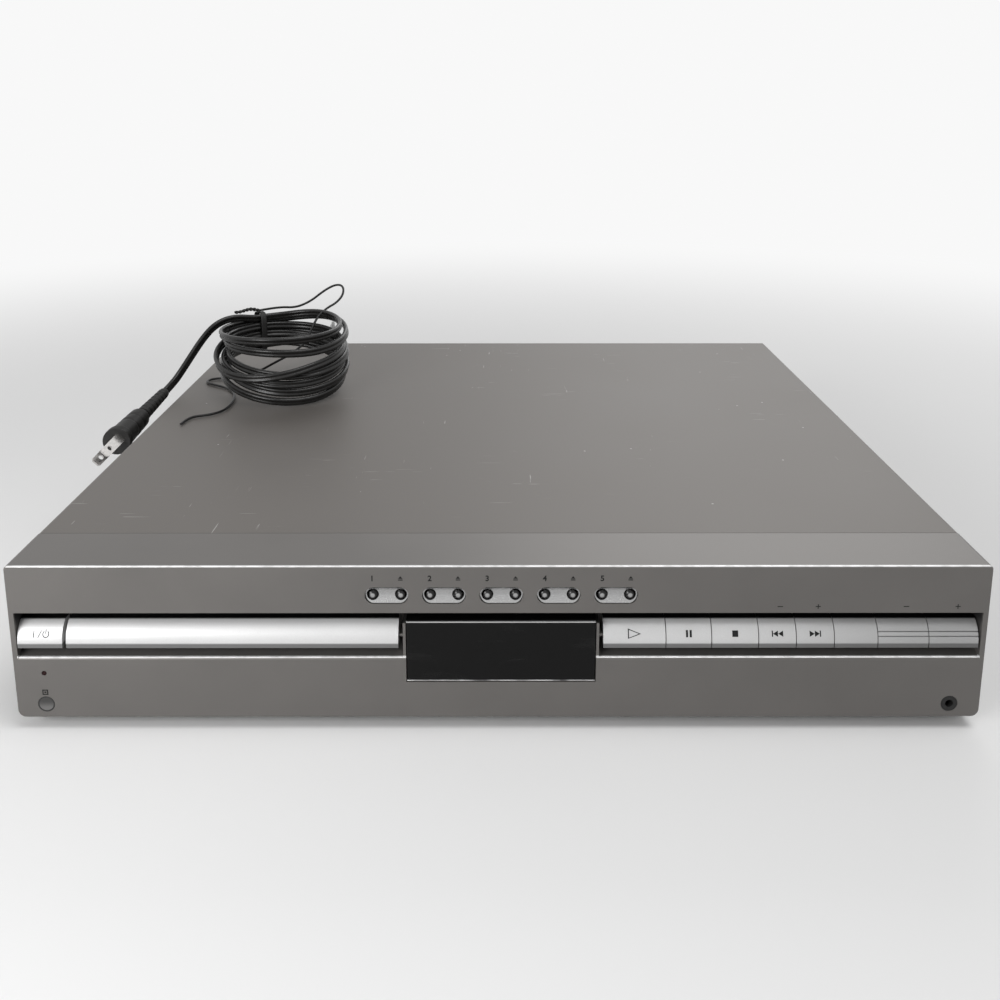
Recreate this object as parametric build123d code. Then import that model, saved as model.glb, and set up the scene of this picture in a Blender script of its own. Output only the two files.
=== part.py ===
"""Five-disc DVD receiver with its coiled mains cord on top, in millimetres.

The origin is on the ground under the middle of the console. +X is to the right seen from
the front, +Y goes to the back, +Z is up, and the front panel faces -Y.
"""
from build123d import *
import math
import os

# Console outside
WIDTH = 430.0
FACE_HEIGHT = 73.0
FOOT_HEIGHT = 6.0
FRONT_Y = -205.0
COVER_DEPTH = 400.0
STRIP_DEPTH = 34.0
PANEL_WALL = 2.5
SHEET = 1.0
SEAM = 0.3
TOP_CORNER_R = 2.0
BOTTOM_CORNER_R = 3.5
FACE_EDGE_R = 0.6
FOOT_R = 12.0
FOOT_INSET = 35.0
REAR_REACH = 10.0

# Cover: rear lip, side vents and screws
COVER_LIP = 10.0
VENTS = 14
VENT_FIRST_Y = -60.0
VENT_PITCH = 9.0
VENT_WIDTH = 3.2
VENT_Z0 = 34.0
VENT_Z1 = 60.0
SCREW_R = 1.4
SCREW_HEAD_R = 3.4
SCREW_HEAD = 1.8
SCREW_END = 4.0
SIDE_SCREW_RISE = 11.0
SIDE_SCREW_FRONT = 95.0
SIDE_SCREW_REAR = 70.0
REAR_SCREW_DROP = 5.0
REAR_SCREW_INSET = 30.0
PAN_SIDE = 14.0

# Channel across the face, and the bars and buttons in it
CHANNEL_TOP = 22.2
CHANNEL_HEIGHT = 21.3
CHANNEL_DEPTH = 12.0
CHANNEL_WALL = 2.0
CHANNEL_END_WALL = 2.5
SLOPE_FRONT = 1.5
SLOPE_RISE = 3.2
BAR_EDGE_DROP = 36.9
BAR_HEIGHT = 9.6
BAR_BAND = 2.1
BAR_TOP_SETBACK = 6.2
BAR_MID_SETBACK = 1.8
BAR_MID_RISE = 5.6
BAR_DEPTH = 10.2
BUTTON_TRAVEL = 1.2
STEM_R = 1.5
STEM_CLEARANCE = 0.15

# Along the channel, from the left end: power button, drawer bar, window, then the row of
# buttons, whose widths share what is left of the face
CHANNEL_END_GAP = 0.4
POWER_WIDTH = 19.7
POWER_GAP = 1.7
BAR_WIDTH = 146.4
BAR_GAP = 2.1
ROW_START = 3.4
ROW_END = 3.4
BUTTON_GAP = 0.4
ROW_BUTTONS = [
    ("play_button", 27.4),
    ("pause_button", 19.8),
    ("stop_button", 20.3),
    ("previous_button", 16.2),
    ("next_button", 16.4),
    ("function_button", 18.8),
    ("volume_down_button", 22.1),
    ("volume_up_button", 21.6),
]

# Grooves across the volume buttons: height above the bar's edge, depth behind the face
VOLUME_GROOVES = [(2.8, 1.3), (4.7, 2.1)]
GROOVE_HEIGHT = 0.45

# Disc buttons
DISC_SLOTS = 5
DISC_PITCH = 25.05
DISC_FIRST_LEFT = 8.2
DISC_DROP = 13.9
BEZEL_LENGTH = 18.6
BEZEL_HEIGHT = 7.2
BEZEL_DISH = 1.3
BEZEL_FLANGE = 1.6
DOME_R = 2.5
DOME_OFFSET = 6.15
DOME_TRAVEL = 1.0
DOME_STEM_R = 1.3

# Display window
WINDOW_WIDTH = 83.5
WINDOW_TOP_DROP = 25.8
WINDOW_HEIGHT = 29.5
WINDOW_EDGE_R = 0.6
WINDOW_CLEARANCE = 0.3
WINDOW_RIM = 4.0
TUBE_MARGIN = 7.0
PILLAR = 1.2
LEDGE_REACH = 1.7
LEDGE_RISE = 2.8
LEDGE_T = 1.0

# Small things on the face
HEADPHONE_INSET = 13.7
REMOTE_INSET = 13.1
LOW_ROW_DROP = 66.4
HEADPHONE_BORE_R = 1.75
HEADPHONE_BORE_DEPTH = 14.0
HEADPHONE_HALF = 4.9
ROUND_INSERT_R = 3.6
SENSOR_SIZE = 7.0
SENSOR_DEPTH = 6.0
STANDBY_INSET = 13.4
STANDBY_DROP = 51.2
STANDBY_R = 1.0

# Front circuit board
BOARD_T = 1.6
FRONT_BOARD_GAP = 10.0
SWITCH_SIZE = 6.0
SWITCH_BODY = 3.5
SWITCH_NUB = 1.2
PRESS_ROOM = 0.15
FRONT_BOARD_SIDE = 4.0
FRONT_BOARD_TOP = 3.0
FRONT_BOARD_FOOT = 2.5
WINDOW_BOARD = 4.7
DISC_BOARD = 13.1
POST_SIDE_HIGH = 15.0
POST_SIDE_LOW = 35.0
POST_DISC = 28.7
POST_WINDOW = 17.2

# Disc mechanism
DRAWER_TRAVEL = 145.0
TRAY_MARGIN = 10.25
TRAY_T = 5.0
TRAY_RISE = 1.4
TRAY_LENGTH = 140.0
RAIL_W = 3.5
RAIL_LENGTH = 65.0
WELL_R = 60.75
WELL_DEPTH = 2.5
SMALL_WELL_R = 40.5
SMALL_WELL_DEPTH = 0.8
WELL_Y = -122.0
KEYHOLE_R = 19.0
KEYHOLE_END = 4.0
MECH_WALL = 3.0
MECH_SIDE_GAP = 1.0
MECH_FLOOR = 2.0
MECH_FRONT_Y = -176.0
MECH_TOP = 58.0
GUIDE_LIP = 2.5
GUIDE_T = 2.0
GUIDE_END = 10.0
SLIDE_GAP = 0.3
MODULE = 1.0
PRESSURE_ANGLE = math.radians(25)
ADDENDUM = 0.7 * MODULE
DEDENDUM = 1.1 * MODULE
PINION_TEETH = 20
MOTOR_TEETH = 10
GEAR_T = 3.0
RACK_INSET = 3.0
RACK_BACK = 1.9
PINION_Y = -157.0
STUD_R = 2.5
TOOTH_BACKLASH = 0.3
MOTOR_R = 12.0
MOTOR_HEIGHT = 22.0
MOTOR_BOSS_R = 3.0
MOTOR_BOSS = 2.0
MOTOR_SHAFT_R = 1.0
BORE_CLEARANCE = 0.05
STOCKER_HALF = 66.5
STOCKER_LENGTH = 134.0
STOCKER_FRONT_Y = -40.0
STOCKER_HEIGHT = 36.0
STOCKER_LIFT = 24.0
STOCKER_WALL = 2.0
STORED_TRAYS = 4
STORED_PITCH = 8.0
STORED_TRAY_T = 3.0
STORED_TRAY_RISE = 2.0
LEDGE_W = 2.5
LIFT_ROD_R = 2.0
LIFT_ROD_X = 56.0
LIFT_LUG = 4.5
LIFT_END = 10.0
BASE_HALF = 43.0
BASE_FRONT_Y = -143.0
BASE_REAR_Y = -52.0
BASE_T = 3.0
BASE_Z = 30.0
PIVOT_Y = -47.5
PIVOT_R = 2.0
EAR_T = 4.0
EAR_HALF = 5.0
ARM_WIDTH = 8.0
SADDLE_HALF = 2.8
SADDLE_LENGTH = 3.5
SADDLE_HEIGHT = 5.0
SPINDLE_MOTOR_R = 12.0
SPINDLE_MOTOR_HEIGHT = 12.0
SPINDLE_BORE_DEPTH = 8.0
TURNTABLE_R = 15.0
TURNTABLE_T = 2.5
SPINDLE_R = 7.0
SPINDLE_HEIGHT = 2.0
SPINDLE_CHAMFER = 1.2
PICKUP_LENGTH = 16.0
PICKUP_HALF = 22.0
PICKUP_Y = -97.0
PICKUP_TRAVEL = 31.0
PICKUP_T = 4.5
PICKUP_CORE_HALF = 12.0
PICKUP_CORE_DROP = 4.0
LENS_R = 4.0
LENS_HEIGHT = 1.6
ROD_X = 18.5
ROD_R = 1.5
ROD_RISE = 2.5
ROD_END = 4.5
PUCK_R = 14.0
PUCK_T = 2.5
PUCK_DROP = 1.5
PUCK_NECK_R = 8.6
PUCK_CAP_R = 11.5
PUCK_CAP = 1.5
BRIDGE_T = 2.5
BRIDGE_HALF = 23.0

# Electronics: boards and what stands on them. Places on the main board are measured from its
# front left corner for the chips and from its rear right corner for the rest
STANDOFF = 6.0
STANDOFF_R = 3.0
STANDOFF_INSET = 6.0
BOARD_SIDE_GAP = 7.4
MAIN_BOARD_MECH_GAP = 12.5
MAIN_BOARD_FRONT = 37.0
MAIN_BOARD_REAR_GAP = 1.7
CHIPS = [
    (70.0, 78.0, 28.0, 2.6),
    (115.0, 78.0, 16.0, 1.6),
    (70.0, 128.0, 14.0, 1.4),
    (150.0, 108.0, 20.0, 2.0),
    (50.0, 168.0, 12.0, 1.4),
    (20.0, 78.0, 12.0, 6.0),
]
MAIN_CAPACITORS = [
    (35.0, 231.0, 5.0, 14.0),
    (35.0, 211.0, 5.0, 14.0),
    (52.0, 221.0, 4.0, 11.0),
    (125.0, 171.0, 6.3, 18.0),
    (145.0, 171.0, 6.3, 18.0),
    (55.0, 161.0, 8.0, 22.0),
]
HEATSINK_RIGHT = 40.0
HEATSINK_REAR = 41.0
HEATSINK_WIDTH = 90.0
HEATSINK_LENGTH = 80.0
HEATSINK_HEIGHT = 40.0
HEATSINK_BASE = 5.0
HEATSINK_FINS = 12
FIN_T = 2.0
POWER_BOARD_MAIN_GAP = 8.0
POWER_BOARD_MECH_GAP = 8.0
POWER_BOARD_REAR_GAP = 6.7
BULK_CAPACITORS = (14.0, 36.0)
BULK_CAPACITOR_R = 9.0
BULK_CAPACITOR_HEIGHT = 30.0
BULK_CAPACITOR_Y = 20.0
OUTPUT_CAPACITOR_R = 5.0
OUTPUT_CAPACITOR_HEIGHT = 16.0
TRANSFORMER_LEFT = 100.0
TRANSFORMER_WIDTH = 42.0
TRANSFORMER_DEPTH = 36.0
TRANSFORMER_HEIGHT = 34.0
TRANSFORMER_YOKE = 6.0
INLET_HALF = 8.0
INLET_REAR = 6.0
INLET_SIZE = 12.0
FAN_INSET = 40.0
FAN_Z = 43.0
FAN_SIZE = 50.0
FAN_DEPTH = 12.0
FAN_BORE_R = 23.0
FAN_BLADES = 7
FAN_HUB_R = 9.5
FAN_SPIDER_R = 10.0
FAN_SPIDER_T = 2.0
FAN_ARM = 3.0
FAN_SHAFT_R = 2.0
FAN_FLOOR = 1.0
VANE_WIDTH = 9.0
VANE_T = 1.2
VANE_ANGLE = 35.0
VANE_ROOT = 4.0

# Rear panel: columns of phono jacks, speaker sockets, aerial terminals, vents
RCA_INSET = 18.0
RCA_PITCH = 16.0
RCA_PER_ROW = 4
RCA_ROWS = (28.0, 46.0)
RCA_R = 4.15
RCA_REACH = 9.0
RCA_PIN_R = 1.6
RCA_HOLE_GAP = 0.5
RCA_BODY_HALF = 7.0
RCA_BODY_DEPTH = 12.0
RCA_BODY_RISE = 8.0
SPEAKER_X0 = 58.0
SPEAKER_COLUMNS = 3
SPEAKER_PITCH = 22.0
SPEAKER_ROWS = (27.0, 48.0)
SPEAKER_HALF = 8.0
SPEAKER_HALF_HEIGHT = 7.0
SPEAKER_BODY_HALF = 9.5
SPEAKER_BODY_DEPTH = 14.0
SPEAKER_BODY_RISE = 8.5
SPEAKER_ENTRY_X = 3.6
SPEAKER_ENTRY_HALF = 1.4
SPEAKER_ENTRY_DEPTH = 8.0
AERIAL_X = -64.0
AERIAL_Z = 38.0
AERIAL_PLATE_HALF = 13.0
AERIAL_PLATE_T = 3.0
AERIAL_PLATE_DROP = 16.0
AERIAL_PLATE_RISE = 20.0
AERIAL_ROUND_RISE = 12.0
AERIAL_ROUND_R = 4.8
AERIAL_FLAT_HALF = 10.0
AERIAL_FLAT_DROP = 13.0
AERIAL_FLAT_RISE = 3.0
AERIAL_FLAT_REACH = 5.0
AERIAL_HOLE_R = 1.2
AERIAL_HOLE_DROP = 8.0
SOCKET_SHELL = 1.0
GRILLE_SLAT = 2.4
GRILLE_PITCH = 5.4
GRILLE_SLOTS = 8
REAR_VENT_INSET = 7.1
REAR_VENTS = 9
REAR_VENT_PITCH = 5.0
REAR_VENT_Z0 = 36.0
REAR_VENT_Z1 = 60.0

# Mains cord
CORD_D = 4.6
COIL_X = -145.0
COIL_Y = 63.0
COIL_R = 41.0
COIL_SPREAD = 2.2
COIL_TURNS = 7
TIE_ANGLE = 125.0
TIE_LOW = 23.0
TIE_PITCH = 2.95
FAN_LOW = 2.9
FAN_PITCH = 5.7
GLAND_X = -150.0
GLAND_Z = 27.0
GLAND_LENGTH = 24.3
GLAND_R = 6.0
GLAND_TIP_R = 3.6
GLAND_STEP = 1.0
GLAND_FLANGE = 3.0
GLAND_INSIDE = 5.0
TIE_WIDTH = 10.0
TIE_T = 1.2
TIE_CLEARANCE = 0.6
WIRE_D = 1.6

# Plug
PLUG_START = (-222.0, 43.0, 4.5)
PLUG_TIP = (-245.0, -25.0, -20.5)
PLUG_FACING = (0.332, -0.893, 0.303)
PLUG_RELIEF = 27.0
PLUG_BODY = 27.0
PLUG_WIDTH = 25.0
PLUG_THICK = 15.0
BLADE_GAP = 12.7
BLADE_W = 6.35
BLADE_T = 1.5
BLADE_LENGTH = 17.0
BLADE_HOLE_R = 1.6
BLADE_HOLE_END = 5.5
BLADE_CHAMFER = 1.2
PLUG_SHOULDER = 3.0
PLUG_FLANGE = 3.0
PLUG_CORNER = 5.0
PLUG_WAIST_LESS = 3.0
PLUG_RIM_MORE = 2.0
PLUG_RIM_CORNER = 5.5
RELIEF_START_WIDTH = 7.5
RELIEF_START_THICK = 6.0
RELIEF_START_CORNER = 2.5
RELIEF_END_WIDTH = 11.0
RELIEF_END_THICK = 9.0
RELIEF_END_CORNER = 3.0
COLLAR_WIDTH = 13.0
COLLAR_THICK = 11.0
COLLAR_CORNER = 4.0

# Cord points chosen by hand, with heights above the cover: gland to coil with its distances
# behind the rear edge, coil to plug, and the thin wire of the tie
LEAD_REST = 132.0
LEAD_POINTS = [
    (-150.0, 35.0, -52.0),
    (-149.0, 49.0, -44.0),
    (-147.0, 57.0, -30.0),
    (-144.5, 57.0, -14.0),
    (-142.0, 49.0, 0.0),
    (-139.5, 35.0, 8.3),
    (-136.8, 18.0, 10.5),
    (-134.4, 0.0, 9.7),
    (-132.5, -19.0, 9.2),
    (-132.0, -38.0, 12.0),
    (-134.5, -56.5, 17.0),
    (-142.0, -73.5, 21.6),
]
TAIL_POINTS = [
    (-181.2, 85.1, 45.7),
    (-188.9, 79.6, 45.4),
    (-196.3, 74.5, 41.5),
    (-203.0, 70.3, 33.5),
    (-209.3, 66.2, 23.8),
    (-214.6, 60.6, 15.0),
]
WIRE_POINTS = [
    (-157.0, 106.5, 49.0),
    (-147.0, 115.0, 46.5),
    (-137.0, 121.5, 50.0),
    (-128.0, 125.0, 57.0),
    (-119.0, 124.0, 62.0),
    (-112.5, 118.5, 62.0),
    (-111.5, 111.0, 57.0),
    (-115.5, 103.0, 52.5),
    (-121.0, 95.5, 50.5),
    (-126.5, 87.5, 46.0),
    (-130.0, 79.5, 38.0),
    (-133.0, 71.0, 31.0),
    (-141.0, 65.0, 25.0),
    (-153.0, 66.5, 18.5),
    (-165.0, 72.0, 11.0),
    (-177.5, 79.5, 5.0),
    (-189.5, 86.0, 1.6),
    (-198.5, 88.5, 1.1),
    (-204.5, 84.0, 1.1),
    (-203.5, 76.5, 1.1),
    (-196.0, 71.5, 1.1),
    (-187.0, 65.0, 1.1),
    (-179.0, 54.0, 1.1),
    (-175.0, 40.0, 1.1),
    (-174.0, 25.0, 1.1),
    (-175.5, 12.0, 1.1),
    (-182.5, 4.0, 1.1),
    (-190.5, 1.5, 1.1),
    (-194.0, -6.0, 1.1),
    (-194.5, -14.0, 1.1),
]

# Values that follow from the ones above
HALF = WIDTH / 2
TOP_Z = FOOT_HEIGHT + FACE_HEIGHT
PAN_Z = FOOT_HEIGHT + PANEL_WALL
PAN_TOP = PAN_Z + SHEET
COVER_HALF = HALF - SEAM
COVER_FRONT_Y = FRONT_Y + STRIP_DEPTH + SEAM
COVER_REAR_Y = FRONT_Y + COVER_DEPTH
PAN_HALF = COVER_HALF - SHEET - SEAM
PAN_INNER = PAN_HALF - SHEET
REAR_OUT_Y = COVER_REAR_Y - SHEET - SEAM
REAR_IN_Y = REAR_OUT_Y - SHEET
REAR_END_Y = COVER_REAR_Y + REAR_REACH
SIDE_SCREWS = (FRONT_Y + SIDE_SCREW_FRONT, COVER_REAR_Y - SIDE_SCREW_REAR)
SIDE_SCREW_Z = FOOT_HEIGHT + SIDE_SCREW_RISE
REAR_SCREWS = (-HALF + REAR_SCREW_INSET, 0.0, HALF - REAR_SCREW_INSET)
REAR_SCREW_Z = TOP_Z - REAR_SCREW_DROP
CHANNEL_Z1 = TOP_Z - CHANNEL_TOP
CHANNEL_Z0 = CHANNEL_Z1 - CHANNEL_HEIGHT
CHANNEL_BACK_Y = FRONT_Y + CHANNEL_DEPTH
LINER_BACK_Y = CHANNEL_BACK_Y + CHANNEL_WALL
BAR_Z0 = TOP_Z - BAR_EDGE_DROP
BAR_Z1 = BAR_Z0 + BAR_HEIGHT
STEM_Z = BAR_Z0 + BAR_HEIGHT / 2
POWER_X0 = -HALF + CHANNEL_END_WALL + CHANNEL_END_GAP
POWER_X1 = POWER_X0 + POWER_WIDTH
BAR_X0 = POWER_X1 + POWER_GAP
BAR_X1 = BAR_X0 + BAR_WIDTH
MECH_X = (BAR_X0 + BAR_X1) / 2
WINDOW_X0 = BAR_X1 + BAR_GAP + PILLAR + WINDOW_CLEARANCE
WINDOW_X1 = WINDOW_X0 + WINDOW_WIDTH
ROW_X0 = WINDOW_X1 + ROW_START
ROW_X1 = HALF - ROW_END
BOARD_Y = LINER_BACK_Y + FRONT_BOARD_GAP
NUB_Y = BOARD_Y - SWITCH_BODY - SWITCH_NUB
DISC_Z = TOP_Z - DISC_DROP
DISC_FIRST_X = WINDOW_X0 - DISC_FIRST_LEFT
WINDOW_Z1 = TOP_Z - WINDOW_TOP_DROP
WINDOW_Z0 = WINDOW_Z1 - WINDOW_HEIGHT
HEADPHONE_X = HALF - HEADPHONE_INSET
REMOTE_X = -HALF + REMOTE_INSET
LOW_ROW_Z = TOP_Z - LOW_ROW_DROP
STANDBY_X = -HALF + STANDBY_INSET
STANDBY_Z = TOP_Z - STANDBY_DROP
TRAY_HALF = WELL_R + TRAY_MARGIN
TRAY_Z0 = BAR_Z0 + TRAY_RISE
TRAY_Z1 = TRAY_Z0 + TRAY_T
TRAY_FRONT_Y = FRONT_Y + BAR_DEPTH
TRAY_REAR_Y = TRAY_FRONT_Y + TRAY_LENGTH
MECH_INNER = TRAY_HALF + MECH_SIDE_GAP
MECH_OUTER = MECH_INNER + MECH_WALL
MECH_REAR_Y = STOCKER_FRONT_Y + STOCKER_LENGTH + LIFT_END
MECH_FLOOR_TOP = PAN_TOP + MECH_FLOOR
RACK_X = TRAY_HALF - RACK_INSET
PINION_R = MODULE * PINION_TEETH / 2
MOTOR_GEAR_R = MODULE * MOTOR_TEETH / 2
PINION_X = MECH_X + RACK_X - PINION_R
MOTOR_X = PINION_X - PINION_R - MOTOR_GEAR_R
GEAR_Z1 = TRAY_Z0 - SLIDE_GAP
GEAR_Z0 = GEAR_Z1 - GEAR_T
RACK_Z0 = GEAR_Z0
ROD_Z = BASE_Z + BASE_T + ROD_RISE
BOARD_Z = PAN_TOP + STANDOFF
BOARD_TOP = BOARD_Z + BOARD_T
MAIN_BOARD_X0 = MECH_X + MECH_OUTER + MAIN_BOARD_MECH_GAP
MAIN_BOARD_X1 = PAN_INNER - BOARD_SIDE_GAP
RCA_COLUMNS = [MAIN_BOARD_X0 + RCA_INSET + RCA_PITCH * column for column in range(RCA_PER_ROW)]
MAIN_BOARD_Y0 = FRONT_Y + MAIN_BOARD_FRONT
MAIN_BOARD_Y1 = REAR_IN_Y - MAIN_BOARD_REAR_GAP
POWER_BOARD_X0 = -PAN_INNER + BOARD_SIDE_GAP
POWER_BOARD_X1 = MAIN_BOARD_X0 - POWER_BOARD_MAIN_GAP
POWER_BOARD_Y0 = MECH_REAR_Y + POWER_BOARD_MECH_GAP
POWER_BOARD_Y1 = REAR_IN_Y - POWER_BOARD_REAR_GAP
FAN_X = MAIN_BOARD_X1 - FAN_INSET
CORD_R = CORD_D / 2
WIRE_R = WIRE_D / 2


def block(x0, x1, y0, y1, z0, z1):
    """A box between two corners."""
    middle = Pos((x0 + x1) / 2, (y0 + y1) / 2, (z0 + z1) / 2)
    return middle * Box(x1 - x0, y1 - y0, z1 - z0)


def rod_x(y, z, x0, x1, radius):
    return Pos((x0 + x1) / 2, y, z) * Rot(0, 90, 0) * Cylinder(radius, x1 - x0)


def rod_y(x, z, y0, y1, radius):
    return Pos(x, (y0 + y1) / 2, z) * Rot(90, 0, 0) * Cylinder(radius, y1 - y0)


def rod_z(x, y, z0, z1, radius):
    return Pos(x, y, (z0 + z1) / 2) * Cylinder(radius, z1 - z0)


def pill_y(x, z, y0, y1, length, height):
    """A plate with round ends that lies across X and is thick along Y."""
    reach = (length - height) / 2
    plate = block(x - reach, x + reach, y0, y1, z - height / 2, z + height / 2)
    for side in (-reach, reach):
        plate += rod_y(x + side, z, y0, y1, height / 2)
    return plate


def edges_at(shape, axis, **place):
    """The edges along an axis whose middle lies at the places given."""
    found = []
    for edge in shape.edges().filter_by(axis):
        middle = edge.center()
        if all(abs(getattr(middle, key) - value) < 0.01 for key, value in place.items()):
            found.append(edge)
    return found


def save(name, *pieces):
    """Writes one node: a single solid, or a group of separate solids."""
    solids = [solid for piece in pieces for solid in piece.solids()]
    shape = solids[0] if len(solids) == 1 else Compound(children=solids)
    export_step(shape, f"parts/{name}.step")


def strip_buttons():
    """Name, left edge and right edge of every button in the channel."""
    room = ROW_X1 - ROW_X0 - BUTTON_GAP * (len(ROW_BUTTONS) - 1)
    share = room / sum(width for _, width in ROW_BUTTONS)
    buttons = [("power_button", POWER_X0, POWER_X1)]
    left = ROW_X0
    for name, width in ROW_BUTTONS:
        buttons.append((name, left, left + width * share))
        left += width * share + BUTTON_GAP
    return buttons


def strip_stems():
    """Middle of each strip button's stem."""
    return [(left + right) / 2 for _, left, right in strip_buttons()]


def disc_x(slot):
    return DISC_FIRST_X + slot * DISC_PITCH


def bar_profile(x0, x1):
    """The curved bar section of the drawer front and the strip buttons."""
    low = (FRONT_Y, BAR_Z0)
    middle = (FRONT_Y + BAR_MID_SETBACK, BAR_Z0 + BAR_MID_RISE)
    high = (FRONT_Y + BAR_TOP_SETBACK, BAR_Z1)
    back = FRONT_Y + BAR_DEPTH
    foot = BAR_Z0 - BAR_BAND
    section = Plane.YZ.offset(x0) * make_face(
        [
            ThreePointArc(low, middle, high),
            Line(high, (back, BAR_Z1)),
            Line((back, BAR_Z1), (back, foot)),
            Line((back, foot), (FRONT_Y, foot)),
            Line((FRONT_Y, foot), low),
        ]
    )
    return extrude(section, x1 - x0)


def make_front_panel():
    """Moulded front with a shallow return on all four sides, and the channel's liner."""
    back_y = FRONT_Y + STRIP_DEPTH
    panel = block(-HALF, HALF, FRONT_Y, back_y, FOOT_HEIGHT, TOP_Z)
    panel = fillet(edges_at(panel, Axis.Y, Z=TOP_Z), TOP_CORNER_R)
    panel = fillet(edges_at(panel, Axis.Y, Z=FOOT_HEIGHT), BOTTOM_CORNER_R)
    panel = fillet(edges_at(panel, Axis.X, Y=FRONT_Y, Z=TOP_Z), FACE_EDGE_R)
    inner = HALF - PANEL_WALL
    panel -= block(-inner, inner, FRONT_Y + PANEL_WALL, back_y, PAN_Z, TOP_Z - PANEL_WALL)
    floor_back = FRONT_Y + STRIP_DEPTH / 2
    panel -= block(-HALF, HALF, floor_back, back_y, FOOT_HEIGHT, PAN_Z)
    lip_half = PAN_HALF - PANEL_WALL - SEAM
    lip_top = TOP_Z - SHEET - SEAM
    panel += block(-lip_half, lip_half, back_y - PANEL_WALL, back_y + 2 * PANEL_WALL,
                   TOP_Z - PANEL_WALL, lip_top)
    panel += block(-inner, inner, FRONT_Y + PANEL_WALL, LINER_BACK_Y,
                   CHANNEL_Z0 - CHANNEL_WALL, CHANNEL_Z1 + CHANNEL_WALL)
    end = HALF - CHANNEL_END_WALL
    panel -= block(-end, end, FRONT_Y, CHANNEL_BACK_Y, CHANNEL_Z0, CHANNEL_Z1)
    panel = fillet(edges_at(panel, Axis.X, Y=FRONT_Y, Z=CHANNEL_Z0), PANEL_WALL / 2)
    slope = [(FRONT_Y + SLOPE_FRONT, CHANNEL_Z0), (CHANNEL_BACK_Y, CHANNEL_Z0),
             (CHANNEL_BACK_Y, CHANNEL_Z0 + SLOPE_RISE)]
    panel += extrude(Plane.YZ.offset(-end) * make_face(Polyline(*slope, close=True)), 2 * end)
    gap = WINDOW_CLEARANCE
    ledge_z = BAR_Z0 + LEDGE_RISE
    for side, x in ((-1, WINDOW_X0 - gap), (1, WINDOW_X1 + gap)):
        outer = x + side * PILLAR
        tip = outer + side * LEDGE_REACH
        panel += block(min(x, outer), max(x, outer), FRONT_Y + SEAM, CHANNEL_BACK_Y,
                       CHANNEL_Z0, BAR_Z1)
        panel += block(min(outer, tip), max(outer, tip), FRONT_Y + BAR_MID_SETBACK,
                       CHANNEL_BACK_Y, ledge_z, ledge_z + LEDGE_T)
    panel -= block(WINDOW_X0 - gap, WINDOW_X1 + gap, FRONT_Y, CHANNEL_BACK_Y,
                   WINDOW_Z0 - gap, WINDOW_Z1 + gap)
    rim = WINDOW_RIM
    panel -= block(WINDOW_X0 + rim, WINDOW_X1 - rim, CHANNEL_BACK_Y, LINER_BACK_Y,
                   CHANNEL_Z0 - CHANNEL_WALL, WINDOW_Z1 - rim)
    slot_gap = TRAY_RISE - SLIDE_GAP
    panel -= block(MECH_X - MECH_INNER, MECH_X + MECH_INNER, CHANNEL_BACK_Y, LINER_BACK_Y,
                   TRAY_Z0 - slot_gap, TRAY_Z1 + slot_gap)
    panel -= block(MECH_X + RACK_X - 2 * MODULE, MECH_X + MECH_INNER, CHANNEL_BACK_Y,
                   LINER_BACK_Y, RACK_Z0 - slot_gap, TRAY_Z0)
    for x in strip_stems():
        panel -= rod_y(x, STEM_Z, CHANNEL_BACK_Y, LINER_BACK_Y, STEM_R + STEM_CLEARANCE)
    face_back = FRONT_Y + PANEL_WALL
    for slot in range(DISC_SLOTS):
        panel -= pill_y(disc_x(slot), DISC_Z, FRONT_Y, face_back,
                        BEZEL_LENGTH + 2 * SEAM, BEZEL_HEIGHT + 2 * SEAM)
    for x in (HEADPHONE_X, REMOTE_X):
        panel -= rod_y(x, LOW_ROW_Z, FRONT_Y, face_back, ROUND_INSERT_R + STEM_CLEARANCE)
    panel -= rod_y(STANDBY_X, STANDBY_Z, FRONT_Y, face_back, STANDBY_R + STEM_CLEARANCE)
    for x, z in board_posts():
        panel += rod_y(x, z, face_back, BOARD_Y, STANDOFF_R - BORE_CLEARANCE)
    return panel


def board_posts():
    """Where the front panel's posts carry the front circuit boards."""
    low = CHANNEL_Z0 - CHANNEL_WALL - STANDOFF_R
    posts = [(REMOTE_X, DISC_Z)]
    for z, first, last in ((DISC_Z, disc_x(DISC_SLOTS - 1) + POST_DISC, HALF - POST_SIDE_HIGH),
                           (low, WINDOW_X1 + POST_WINDOW, HALF - POST_SIDE_LOW)):
        posts += [(x, z) for x in (first, (first + last) / 2, last)]
    return posts


def make_window():
    """Smoked window block that interrupts the channel."""
    window = block(WINDOW_X0, WINDOW_X1, FRONT_Y, CHANNEL_BACK_Y, WINDOW_Z0, WINDOW_Z1)
    front_edges = [e for e in window.edges() if abs(e.center().Y - FRONT_Y) < 0.01]
    return fillet(front_edges, WINDOW_EDGE_R)


def make_display_tube():
    margin = TUBE_MARGIN
    return block(WINDOW_X0 + margin, WINDOW_X1 - margin, LINER_BACK_Y + SEAM, BOARD_Y,
                 WINDOW_Z0 + margin, WINDOW_Z1 - margin / 2)


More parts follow.
